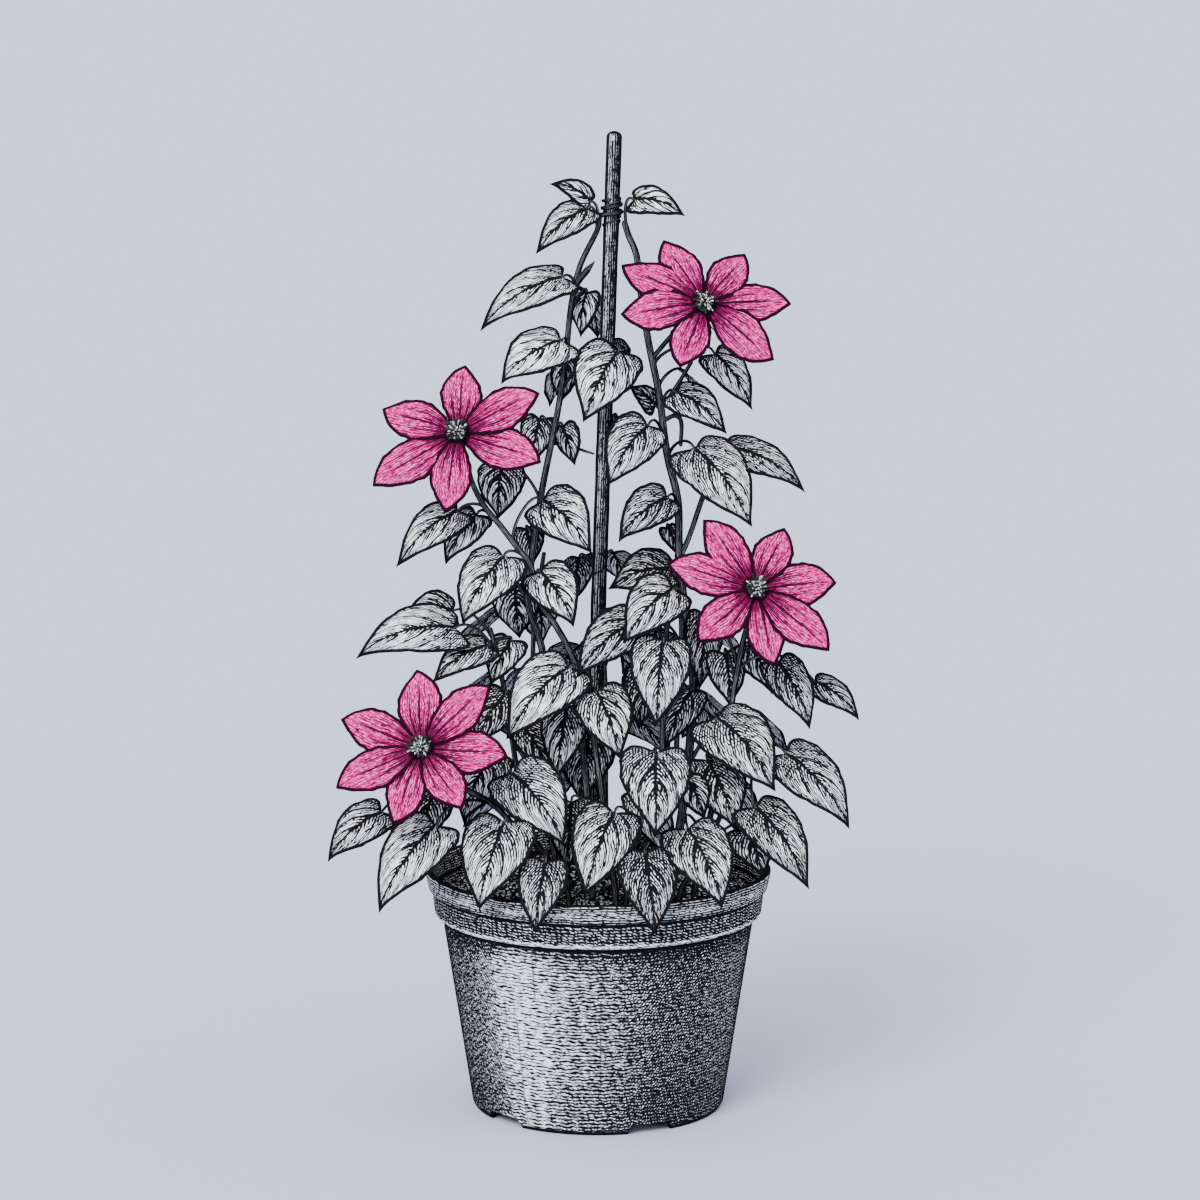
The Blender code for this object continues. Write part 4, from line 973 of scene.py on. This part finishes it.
# A blade's ragged edge is the sum of two waves, with this many of each from end to end
RAGGED_WAVES = (5.3, 8.7)
# The left half's veins and waves come this much later than the right half's
LEFT_VEINS_OFF = 0.4
LEFT_WAVES_OFF = 1.7
# The groove over the midrib and the rib under it, in millimetres, and a crease, as a share of the width
GROOVE_WIDTH = 1.3
RIB_WIDTH = 0.9
RIB_DEPTH = 0.35
CREASE_WIDTH = 0.09
VEIN_PITCH = 0.27
VEIN_SLANT = 0.55
BACK_INK = (0.18, 0.34)
LEAF_WHITE = (0.92, 0.93, 0.95, 1)
BARK_GREY = (0.13, 0.134, 0.142, 1)
PLANT_SHARP_FROM = 62
# How far on past its last point a tube's round end has each of its rings, and their size, both as
# shares of the tube's radius there
ROUND_END = ((0.75, 0.6), (0.85, 0.02))
# A tube that gets less than this share of the painted light from its side keeps the side that it had for
# its painted highlight
LEAST_SIDE_LIGHT = 0.25
# The side that a tube's strokes leave pale, as a painted highlight
PAINTED_LIT_SIDE = Vector((-0.55, -0.75, 0.35)).normalized()


class Growth:
    """The points and faces of one piece in millimetres, with what its inks read at each point."""

    def __init__(self):
        self.points = []
        self.faces = []
        self.paints = []
        self.readings = {"along": [], "edge": [], "look": []}
        self.count = 0

    def add(self, points, faces, paint, along, edge, look):
        """Takes points, each with three readings of three numbers, and faces that count from the first."""
        self.points.append(points)
        self.faces += (np.asarray(faces) + self.count).tolist()
        self.paints += [paint] * len(faces)
        for name, values in (("along", along), ("edge", edge), ("look", look)):
            self.readings[name].append(np.broadcast_to(values, (len(points), 3)))
        self.count += len(points)

    def finish(self, name, node, materials):
        """Makes the piece that replaces a node."""
        mesh = bpy.data.meshes.new(node)
        mesh.from_pydata((np.vstack(self.points) * MM).tolist(), [], self.faces)
        coat(mesh, PLANT_SHARP_FROM, *materials)
        mesh.polygons.foreach_set("material_index", self.paints)
        for reading, values in self.readings.items():
            attribute = mesh.attributes.new(reading, "FLOAT_VECTOR", "POINT")
            attribute.data.foreach_set("vector", np.vstack(values).astype(np.float32).ravel())
        finished_piece(name, mesh, node, PLANT_SET_OFF)


def sheet_faces(rows, columns):
    """Faces of a grid of points whose rows follow one another."""
    corner = np.arange(rows - 1)[:, None] * columns + np.arange(columns - 1)[None, :]
    return np.stack((corner, corner + 1, corner + columns + 1, corner + columns), axis=-1).reshape(-1, 4)


def smooth_way(points, steps):
    """A Catmull-Rom curve through the points, with this many steps between two of them."""
    padded = [points[0] * 2 - points[1], *points, points[-1] * 2 - points[-2]]
    way = []
    for a, b, c, d in zip(padded, padded[1:], padded[2:], padded[3:]):
        for step in range(steps):
            t = step / steps
            square, cube = 2 * a - 5 * b + 4 * c - d, 3 * b - a - 3 * c + d
            way.append(0.5 * (2 * b + (c - a) * t + square * t**2 + cube * t**3))
    return [*way, points[-1]]


def add_tube(growth, way, radii, sides, paint, tone=0.0, seed=0.0):
    """A round-ended tube. Its inks read the place along it, and round it from the side of its painted
    highlight.
    """
    neighbours = zip([way[0], *way], [*way[1:], way[-1]])
    headings = [(after - before).normalized() for before, after in neighbours]
    last, heading, radius = way[-1], headings[-1], radii[-1]
    way = [*way, *(last + heading * radius * onward for onward, _ in ROUND_END)]
    radii = [*radii, *(radius * size for _, size in ROUND_END)]
    headings += [heading] * len(ROUND_END)
    points, along, edge = [], [], []
    length = 0
    toward_light = PAINTED_LIT_SIDE
    for number, (middle, heading, radius) in enumerate(zip(way, headings, radii)):
        if number:
            length += (middle - way[number - 1]).length
        light = PAINTED_LIT_SIDE - heading * PAINTED_LIT_SIDE.dot(heading)
        if light.length < LEAST_SIDE_LIGHT:
            light = toward_light - heading * toward_light.dot(heading)
        toward_light = light.normalized()
        side = heading.cross(toward_light)
        for step in range(sides):
            turn = step * math.tau / sides
            points.append(middle + (toward_light * math.cos(turn) + side * math.sin(turn)) * radius)
            along.append((length, radius, 0))
            edge.append((math.cos(turn) * radius, math.sin(turn) * radius, 0))
    faces = []
    for ring in range(len(way) - 1):
        for step in range(sides):
            after = (step + 1) % sides
            low, high = ring * sides, (ring + 1) * sides
            faces.append((low + step, low + after, high + after, high + step))
    growth.add(np.array(points), faces, paint, np.array(along), np.array(edge), (0, tone, seed))


def blade_axes(base, tip, facing):
    along = tip - base
    normal = (facing - along * facing.dot(along) / along.length_squared).normalized()
    return along, along.cross(normal).normalized(), normal


def rim_distance(points):
    """How far each point of a grid lies from the grid's left, right and last edges."""
    edge = np.vstack((points[:, 0], points[-1:, points.shape[1] // 2], points[::-1, -1]))
    start, step = edge[:-1], edge[1:] - edge[:-1]
    from_start = points.reshape(-1, 1, 3) - start
    share = np.clip((from_start * step).sum(-1) / np.maximum((step**2).sum(-1), 1e-9), 0, 1)
    off = np.linalg.norm(from_start - share[..., None] * step, axis=-1)
    return off.min(1).reshape(points.shape[:2])


def furrow(off, width):
    """A narrow hollow, 1 deep where off is 0."""
    return np.exp(-((off / width) ** 2))


def add_blade(growth, base, tip, facing, width, form, paint, tone, chance):
    """A closed blade, thick in the middle, that is bowed along its midrib, folded, pleated and waved."""
    axes = blade_axes(base, tip, facing)
    along, side, normal = (np.array(axis) for axis in axes)
    length = np.linalg.norm(along)
    u, v = form["rows"][:, None], form["columns"][None, :]
    across = np.abs(v)
    edge_along, edge_out = form["outline"](u)
    reach = (1 - across) * u + across * edge_along
    phase, seed, lean = chance.uniform(0, math.tau), chance.uniform(0, 60), chance.choice((-1, 1))
    slow, quick = (u * waves * math.tau for waves in RAGGED_WAVES)
    ragged = np.sin(slow + phase * v) + 0.7 * np.sin(quick - phase)
    out = v * edge_out * (1 + form["ragged"] * ragged) * width / 2
    hook = lean * form["hook"] * width * (u**9 - u**3.5)
    bow = length * 4 * reach * (1 - reach)
    vein = u - form["sweep"] * across**1.15
    veins = vein / form["pitch"] + np.where(v < 0, LEFT_VEINS_OFF, 0) + seed
    wave = np.sin(u * form["waves"] * math.tau + phase + np.where(v < 0, LEFT_WAVES_OFF, 0))
    fine = form["pleat"] * np.cos(veins * math.tau) * np.clip(across * (1 - across) * 4, 0, 1)
    fine = fine + form["wave"] * wave * across**3 * np.sin(np.pi * u) ** 0.5
    fine = fine - form["groove"] * furrow(out, GROOVE_WIDTH) * (1 - u**3)
    for crease in form["creases"]:
        fine = fine - form["groove"] * furrow(across - crease, CREASE_WIDTH) * np.sin(np.pi * u)
    rise = form["arch"] * bow - form["fold"] * np.abs(out) + min(1, width / WIDE_BLADE) * fine
    middle = np.array(base) + along * reach[..., None] + normal * rise[..., None]
    middle = middle + side * (out + hook + form["sag"] * axes[1].z * bow)[..., None]
    rim = rim_distance(middle)
    thickness = BLADE_THICKNESS * np.sqrt(np.clip(1 - across**2, 0, 1)) * np.ones_like(u)
    thickness[0] = thickness[-1] = 0
    rib = RIB_DEPTH * furrow(out, RIB_WIDTH) * np.clip(1 - u, 0, 1) * (thickness > 0)
    top = middle + normal * (thickness / 2)[..., None]
    bottom = middle - normal * (thickness / 2 + rib)[..., None]
    faces = sheet_faces(*rim.shape)
    above = np.arange(rim.size).reshape(rim.shape)
    below = above + rim.size
    for edge in (np.s_[:, 0], np.s_[:, -1], 0, -1):
        below[edge] = above[edge]
    faces = np.vstack((faces, below.ravel()[faces[:, ::-1]]))
    used = np.unique(faces)
    points = np.vstack((top.reshape(-1, 3), bottom.reshape(-1, 3)))
    place = np.zeros(len(points), int)
    place[used] = np.arange(len(used))
    readings = []
    for three in ((veins, vein * length * VEIN_SLANT, u), (out, rim, across)):
        grid = np.stack([np.broadcast_to(values, rim.shape) for values in three], -1).reshape(-1, 3)
        readings.append(np.vstack((grid, grid))[used])
    look = (length * form["pitch"] * VEIN_SLANT, tone, seed)
    growth.add(points[used], place[faces], paint, *readings, look)


def columns_of(half):
    """A blade's columns from its left edge to its right one, with the right half's given."""
    return np.array((*(-out for out in reversed(half)), 0, *half))


def leaf_outline(u):
    """Half of a heart-shaped leaf's edge: how far along and how far out, as u runs from notch to tip."""
    return u**1.2 - 2.1 * u * (1 - u) ** 4, np.sin(np.pi * u**0.72) * (1 - 0.35 * u**6)


# Rows from the notch to the tip are closest where the lobes turn, and columns are closest at the midrib.
# Pleat, wave and groove are millimetres on a wide blade, waves is a count, and the others are shares.
LEAF_FORM = {
    "rows": np.linspace(0.06, 0.9985, 25) ** 1.55,
    "columns": columns_of((0.1, 0.24, 0.42, 0.62, 0.8, 0.93, 1)),
    "outline": leaf_outline, "arch": 0.06, "fold": 0.12, "sag": 0.12, "pitch": VEIN_PITCH, "sweep": 0.78,
    "pleat": 0.5, "waves": 2.3, "wave": 1.1, "groove": 0.5, "creases": (), "ragged": 0.02, "hook": 0.06,
}


# Leaves whose stalks end in front of this, in millimetres, turn their faces to the front. A facing is the
# share that a leaf's own place has in it, and the way that all leaves share
FRONT_LEAVES_TO = 20
FRONT_FACING = (0.35, Vector((0, -0.85, 0.42)))
BACK_FACING = (0.8, Vector((0, 0, 0.6)))


def leaf_facing(base):
    """Leaves look outwards and up, and those in front look to the front as well."""
    spread, shared = FRONT_FACING if base.y < FRONT_LEAVES_TO else BACK_FACING
    return (Vector((base.x, base.y, 0)).normalized() * spread + shared).normalized()


def point_at_height(way, height):
    for low, high in zip(way, way[1:]):
        if low.z <= height <= high.z:
            share = (height - low.z) / max(high.z - low.z, 1e-6)
            return low.lerp(high, share), (high - low).normalized()
    return way[-1], (way[-1] - way[-2]).normalized()


def stalk_way(way, leave_height, base, tip):
    """A leaf's stalk, out of the middle of the stem and up to the foot of the midrib."""
    start, climb = point_at_height(way, leave_height)
    reach = (base - start).length * 0.3
    first = start + climb * reach
    second = base - (tip - base).normalized() * reach + Vector((0, 0, reach / 3))
    points = []
    for step in range(STALK_STEPS + 1):
        t = step / STALK_STEPS
        pull = first * 3 * t * (1 - t) ** 2 + second * 3 * t**2 * (1 - t)
        points.append(start * (1 - t) ** 3 + pull + base * t**3)
    return points


def add_leaf(growth, way, base, tip, width, leave_height, tone, chance):
    base, tip = Vector(base), Vector(tip)
    stalk = stalk_way(way, leave_height, base, tip)
    radii = np.linspace(*STALK_RADIUS, len(stalk) + 1)[:-1].tolist() + [STALK_RADIUS[1] * 0.6]
    stalk.append(base.lerp(tip, 0.04) - blade_axes(base, tip, leaf_facing(base))[2] * 0.2)
    add_tube(growth, stalk, radii, STALK_SIDES, 1, STALK_TONE, chance.uniform(0, 60))
    add_blade(growth, base, tip, leaf_facing(base), width, LEAF_FORM, 0, tone, chance)


def back_leaves(name, way):
    """Pairs of leaves up the back of the plant, in the same form as the rows of LEAVES."""
    chance = random.Random(name)
    lowest, highest, outward_turn = BACK_STEMS[name]
    leaves = []
    for pair, height in enumerate(range(lowest, highest + 1, BACK_LEAF_STEP)):
        start, _ = point_at_height(way, height)
        for hand in (-1, 1):
            stray = chance.uniform(-BACK_LEAF_STRAY, BACK_LEAF_STRAY)
            turn = outward_turn + hand * BACK_LEAF_SPREADS[pair % 2] + stray
            outward = round_axis(1, math.radians(turn))
            reach = chance.uniform(*BACK_LEAF_REACH)
            length = chance.uniform(*BACK_LEAF_LENGTH)
            base = start + outward * reach + Vector((0, 0, chance.uniform(*BACK_LEAF_RISE)))
            tip = base + (outward * BACK_LEAF_OUT - BACK_LEAF_DOWN) * length
            width = length * chance.uniform(*BACK_LEAF_WIDTH)
            leaves.append((base, tip, width, height - BACK_STALK_DROP, None))
    return leaves


def bloom_axes(facing):
    turn, lift = (math.radians(angle) for angle in facing)
    normal = Vector((math.sin(turn) * math.cos(lift), -math.cos(turn) * math.cos(lift), math.sin(lift)))
    right = round_axis(1, turn)
    return right, right.cross(-normal), normal


def bloom_seat(name):
    """The last two points of what carries a bloom, straight onto the back of its receptacle."""
    middle, facing, *_ = BLOOMS[name]
    normal = bloom_axes(facing)[2]
    end = Vector(middle) - normal * (RECEPTACLE_DEPTH + SEAT_GAP)
    return [end - normal * STALK_END_LENGTH, end]


def wound_way(low, rise, first_turn, whole_turn, reach):
    """A way that winds round the cane, at the reach that is given for each share of it."""
    way = []
    for share in np.linspace(0, 1, WINDING_STEPS + 1).tolist():
        height = low + rise * share
        up_cane = (height * MM - CANE_FOOT.z) / (CANE_TOP.z - CANE_FOOT.z)
        away = round_axis(reach(share), math.radians(first_turn + share * whole_turn))
        way.append(CANE_FOOT.lerp(CANE_TOP, up_cane) / MM + away)
    return way


def grip_reach(share):
    return float(np.interp(share, GRIP_SHARES, GRIP_REACHES))


def tendril_reach(share):
    return TENDRIL_REACH + TENDRIL_WOBBLE * math.sin(share * TENDRIL_WAVES)


def reading(tree, name):
    """The three numbers that a growth's points carry under this name."""
    return split(Value(put(tree, "ShaderNodeAttribute", attribute_name=name).outputs["Vector"]))


def leaf_paper():
    """Pale leaf with a black outline, midrib and side veins, and hatching that follows the veins as
    painted shade.
    """
    material, tree, shader = matt_material("leaf_drawn_in_ink", 0.7)
    veins, vein_mm, u = reading(tree, "along")
    out, rim, across = reading(tree, "edge")
    pitch_mm, tone, seed = reading(tree, "look")
    off_midrib = abs(out)
    midrib = fade(off_midrib - fade(u, 0, 1, 1.1, 0.45), 0.35, -0.1)
    past_vein = veins.calc("FRACT")
    off_vein = past_vein.calc("MINIMUM", 1 - past_vein) * pitch_mm
    vein = fade(off_vein - fade(across, 0, 0.95, 0.75, 0.35), 0.3, -0.1) * fade(u, 0.9, 0.78)
    outline = fade(rim, 3, 2.2)
    # The hatching paints shade: more ink at the base, just past each vein, by the midrib and near the
    # edge, leaving painted highlights between the veins
    share = tone + 0.08 + fade(u, 0.6, 0.04, 0, 0.36) + fade(past_vein, 0, 0.55, 0.24, 0)
    share = share + fade(off_midrib, 4.5, 0.4, 0, 0.14) + fade(rim, 6, 2, 0, 0.16)
    u_mm = u * (pitch_mm / (VEIN_PITCH * VEIN_SLANT))
    hatching = pen_strokes(vein_mm, u_mm, 2.1, 8, share + 0.04, seed)
    fine = pen_strokes(out, u_mm, 2.3, 4.4, share - 0.36, seed)
    ink = darkest(hatching, fine, midrib, vein, outline)
    draw_on(shader, inked(LEAF_WHITE, INK, ink), darkest(vein, midrib), -0.3 * MM, 0.6)
    return material


def stem_bark():
    """Dark stem with lengthwise strokes, and a pale streak down one side as a painted highlight."""
    material, tree, shader = matt_material("stem_bark", 0.65)
    along, radius, _ = reading(tree, "along")
    lit, round_it, _ = reading(tree, "edge")
    _, tone, seed = reading(tree, "look")
    # Less ink on the side the strokes leave pale is a painted highlight, and more on the far side is
    # painted shade
    share = fade(lit / radius, 0.3, 0.95, 1.2, 0.5) + tone
    forward = abs(split(normal_way(tree))[1])
    strokes = pen_strokes(round_it, along, 0.9, 9, share, seed + lit)
    ink = darkest(strokes, fade(forward, 0.84, 0.72) * fade(forward, 0.1, 0.3))
    draw_on(shader, inked(BARK_GREY, INK, ink), strokes, -0.2 * MM, 0.6)
    return material


LEAF_PAPER = leaf_paper()
STEM_BARK = stem_bark()


def make_leafy_stem(name):
    chance = random.Random(name + " leaves")
    ends, *points = STEMS[name]
    points = [Vector(point) for point in points]
    way = smooth_way(points, 1 if len(points) > LONG_STEM_POINTS else 2)
    if name in BLOOM_ON:
        way += bloom_seat(BLOOM_ON[name])
    way = [Vector((points[0].x, points[0].y, STEM_ROOT_HEIGHT)), *way]
    leaves = list(LEAVES.get(name, ()))
    if name in BACK_STEMS:
        leaves += back_leaves(name, way)
    growth = Growth()
    fine_way = smooth_way(way, STEM_STEPS)
    radii = np.linspace(*ends, len(fine_way)).tolist()
    add_tube(growth, fine_way, radii, STEM_SIDES, 1, seed=chance.uniform(0, 60))
    if name == GRIPPING_STEM:
        grip = wound_way(*GRIP, grip_reach)
        radii = np.interp(np.linspace(0, 1, len(grip)), GRIP_SHARES, GRIP_RADII).tolist()
        add_tube(growth, grip, radii, STALK_SIDES, 1, GRIP_TONE, 3.0)
        for tendril in TENDRILS:
            wound = wound_way(*tendril, tendril_reach)
            add_tube(growth, wound, [TENDRIL_RADIUS] * len(wound), TENDRIL_SIDES, 1, TENDRIL_TONE, 9.0)
    bloom_name, carrier, leave_height, *stalk_points = STALKED_BLOOM
    if name == carrier:
        start, _ = point_at_height(way, leave_height)
        seat, end = bloom_seat(bloom_name)
        route = [*smooth_way([start, *(Vector(point) for point in stalk_points), seat], 5), end]
        add_tube(growth, route, [BLOOM_STALK_RADIUS] * len(route), STALK_SIDES, 1, seed=5.0)
    for twig in TWIGS.get(name, ()):
        steps = smooth_way([Vector(place[:3]) for place in twig], TWIG_STEPS)
        places = np.linspace(0, len(twig) - 1, len(steps))
        radii = np.interp(places, range(len(twig)), [place[3] for place in twig]).tolist()
        add_tube(growth, steps, radii, STALK_SIDES, 1, TWIG_TONE, chance.uniform(0, 60))
    for base, tip, width, height, tone in leaves:
        if tone is None:
            tone = chance.uniform(*BACK_INK)
        add_leaf(growth, way, base, tip, width, height, tone, chance)
    growth.finish(name + "_vine", name, (LEAF_PAPER, STEM_BARK))


for stem_name in STEMS:
    make_leafy_stem(stem_name)

# Blooms. Six or seven pointed tepals overlap in two layers round a small receptacle at the stalk's end.
# Each is soft and thin, ribbed down the middle and on both sides, pink mottled with magenta and flecked
# with painted highlights, and inked with a dark outline, three ribs and dark rays out of the bloom's
# middle.
RECEPTACLE_RADIUS = 7
RECEPTACLE_SIDES = 20
# The receptacle's rings: how far in front of the bloom's middle, and what share of the radius
RECEPTACLE_RINGS = ((-RECEPTACLE_DEPTH, 0.55), (-1.6, 0.9), (0, 1), (1.6, 0.9), (2.6, 0.6))
TEPAL_START = 3
LAYER_RISE = (-0.9, 1.1)
TEPAL_STROKES_LENGTH = 65
PALE_PINK = (0.72, 0.02, 0.25, 1)
DEEP_PINK = (0.34, 0.006, 0.095, 1)
# Pink of the glints, painted highlights flecked over the tepals
PAINTED_GLINT_PINK = (0.95, 0.22, 0.52, 1)
BLOOM_INK = (0.016, 0.003, 0.009, 1)


def tepal_outline(u):
    """Half of a tepal's edge, narrow where it joins the bloom, widest past the middle, then pointed."""
    return u, np.sin(np.pi * (0.07 + 0.93 * u) ** 1.2) ** 0.85


TEPAL_FORM = {
    "rows": np.linspace(0.0, 0.9985, 27) ** 1.1,
    "columns": columns_of((0.08, 0.2, 0.34, 0.45, 0.56, 0.7, 0.84, 0.94, 1)),
    "outline": tepal_outline, "arch": 0.05, "fold": 0.14, "sag": 0, "pitch": 0.2, "sweep": 0.8,
    "pleat": 0.15, "waves": 2.6, "wave": 1.2, "groove": 0.7, "creases": (0.4,), "ragged": 0.022,
    "hook": 0.16,
}


def tepal_petal():
    """Pink tepal mottled lengthwise and flecked with painted highlights, with ribs, an outline and rays of
    ink out of the bloom's middle.
    """
    material, tree, shader = matt_material("tepal_drawn_in_pink", 0.55)
    u = reading(tree, "along")[2]
    out, rim, across = reading(tree, "edge")
    seed = reading(tree, "look")[2]
    along = u * TEPAL_STROKES_LENGTH
    spread = out / fade(u, 0, 0.5, 0.45, 1)
    mottle = pen_strokes(spread, along, 2, 3.6, fade(u, 0, 0.8, 0.62, 0.36), seed)
    # Glints are painted highlights, kept off the tepals' roots
    painted_glints = pen_strokes(spread, along, 1.9, 3, 0.12, seed + 31) * fade(u, 0.15, 0.35)
    pink = inked(inked(PALE_PINK, DEEP_PINK, mottle), PAINTED_GLINT_PINK, painted_glints)
    midrib = fade(abs(out), 1.05, 0.5) * fade(u, 0.92, 0.62, 0, 0.95)
    side_rib = fade(abs(across - 0.42), 0.06, 0.025) * fade(u, 0.72, 0.45, 0, 0.85)
    ray_share = fade(u, 0.06, 0.6, 0.66, -0.05) + fade(u, 0.27, 0.17, 0, 0.3)
    rays = pen_strokes(spread, along, 1.7, 15, ray_share, seed)
    hatching = pen_strokes(spread, along, 2.4, 4.5, 0.14, seed + 17) * 0.7
    outline = fade(rim, 3, 2.2)
    ink = darkest(midrib, side_rib, rays, hatching, outline, fade(u, 0.15, 0.09))
    draw_on(shader, inked(pink, BLOOM_INK, ink), mottle, -0.15 * MM, 0.6)
    return material


def make_bloom(name, petal):
    middle, facing, *tepals = BLOOMS[name]
    middle = Vector(middle)
    right, up, normal = bloom_axes(facing)
    chance = random.Random(name)
    growth = Growth()
    receptacle = [middle + normal * depth for depth, _ in RECEPTACLE_RINGS]
    radii = [RECEPTACLE_RADIUS * share for _, share in RECEPTACLE_RINGS]
    start = receptacle[0] - normal * 0.01
    add_tube(growth, [start, *receptacle], [0.1, *radii], RECEPTACLE_SIDES, 1, seed=1.0)
    for number, (angle, length, width) in enumerate(tepals):
        turn = math.radians(angle)
        outward = right * math.sin(turn) + up * math.cos(turn)
        root = middle + normal * LAYER_RISE[number % 2]
        ends = (root + outward * TEPAL_START, root + outward * length)
        add_blade(growth, *ends, normal, width, TEPAL_FORM, 0, 0, chance)
    growth.finish(name + "_tepals", name, (petal, STEM_BARK))


TEPAL_PETAL = tepal_petal()
for bloom_name in BLOOMS:
    make_bloom(bloom_name, TEPAL_PETAL)

# Stamens. A pale crowded boss stands in the middle of each bloom: a dome with some fifty short filaments,
# each with a small grey head, darker down among them and at the sides as painted shade.
BOSS_RADIUS = 4.8
BOSS_RISE = 4
BOSS_STEPS = 8
BOSS_SIDES = 24
FILAMENTS = 54
FILAMENT_LENGTH = (5.8, 11.0)
FILAMENT_ROOT = 1.4
FILAMENT_BEND = 0.8
FILAMENT_TURN = math.radians(137.5)
FILAMENT_RADIUS = 0.42
FILAMENT_SIDES = 7
ANTHER_RADIUS = 0.78
# Each ring of a filament and its head: its share of the way, and its radius
FILAMENT_RINGS = (
    (0, FILAMENT_RADIUS), (0.3, FILAMENT_RADIUS), (0.55, FILAMENT_RADIUS), (0.72, FILAMENT_RADIUS),
    (0.8, ANTHER_RADIUS * 0.75), (0.9, ANTHER_RADIUS), (1, ANTHER_RADIUS * 0.7),
)
# Heads darken as painted shade from this share of half a turn off the middle, and a few stay pale wherever
# they are
PALE_UP_TO = 0.13
HEADS_DARKEN_BY = 7
DARKEST_HEAD = 0.95
PALE_HEADS = 0.22
STAMEN_GREY = (0.7, 0.75, 0.71, 1)


def stamen_greys():
    """Grey filament heads with black edges round a dark dome, the dark being painted shade among the
    filaments.
    """
    material, tree, shader = matt_material("stamen_greys", 0.7)
    along = reading(tree, "along")[0]
    tone = reading(tree, "look")[1]
    specks = fade(noise(object_place(tree), 900), 0.49, 0.57)
    # Ink on the filaments below their heads paints the shade down among them
    ink = darkest(specks, fade(along, 5.6, 4.3), tone)
    draw_on(shader, inked(STAMEN_GREY, INK, ink))
    return material


def make_stamens(bloom_name, greys):
    middle, facing, *_ = BLOOMS[bloom_name]
    right, up, normal = bloom_axes(facing)
    node = bloom_name.replace("bloom", "stamens")
    chance = random.Random(node)
    growth = Growth()
    seat = Vector(middle) + normal * (RECEPTACLE_DEPTH + SEAT_GAP)
    lifts = [step / BOSS_STEPS * math.pi / 2 for step in range(BOSS_STEPS + 1)]
    dome = [seat, *(seat + normal * (0.01 + BOSS_RISE * math.sin(lift)) for lift in lifts)]
    radii = [0.1, *(max(BOSS_RADIUS * math.cos(lift), 0.1) for lift in lifts)]
    # The dome is all ink, painted shade under the filaments
    add_tube(growth, dome, radii, BOSS_SIDES, 0, tone=1.0)
    root = seat + normal * FILAMENT_ROOT
    for number in range(FILAMENTS):
        turn = number * FILAMENT_TURN
        lean = math.acos(1 - 0.93 * (number + 0.5) / FILAMENTS)
        away = (right * math.cos(turn) + up * math.sin(turn)) * math.sin(lean) + normal * math.cos(lean)
        length = chance.uniform(*FILAMENT_LENGTH)
        bend = Vector([chance.uniform(-FILAMENT_BEND, FILAMENT_BEND) for _ in range(3)])
        points = [root + away * length * t + bend * t * t for t, _ in FILAMENT_RINGS]
        shaded = max(0.0, min(DARKEST_HEAD, (lean / math.pi - PALE_UP_TO) * HEADS_DARKEN_BY))
        tone = shaded if chance.random() < 1 - PALE_HEADS else 0.0
        radii = [radius for _, radius in FILAMENT_RINGS]
        add_tube(growth, points, radii, FILAMENT_SIDES, 0, tone, chance.uniform(0, 60))
    growth.finish(node + "_boss", node, (greys,))


STAMEN_GREYS = stamen_greys()
for bloom_name in BLOOMS:
    make_stamens(bloom_name, STAMEN_GREYS)
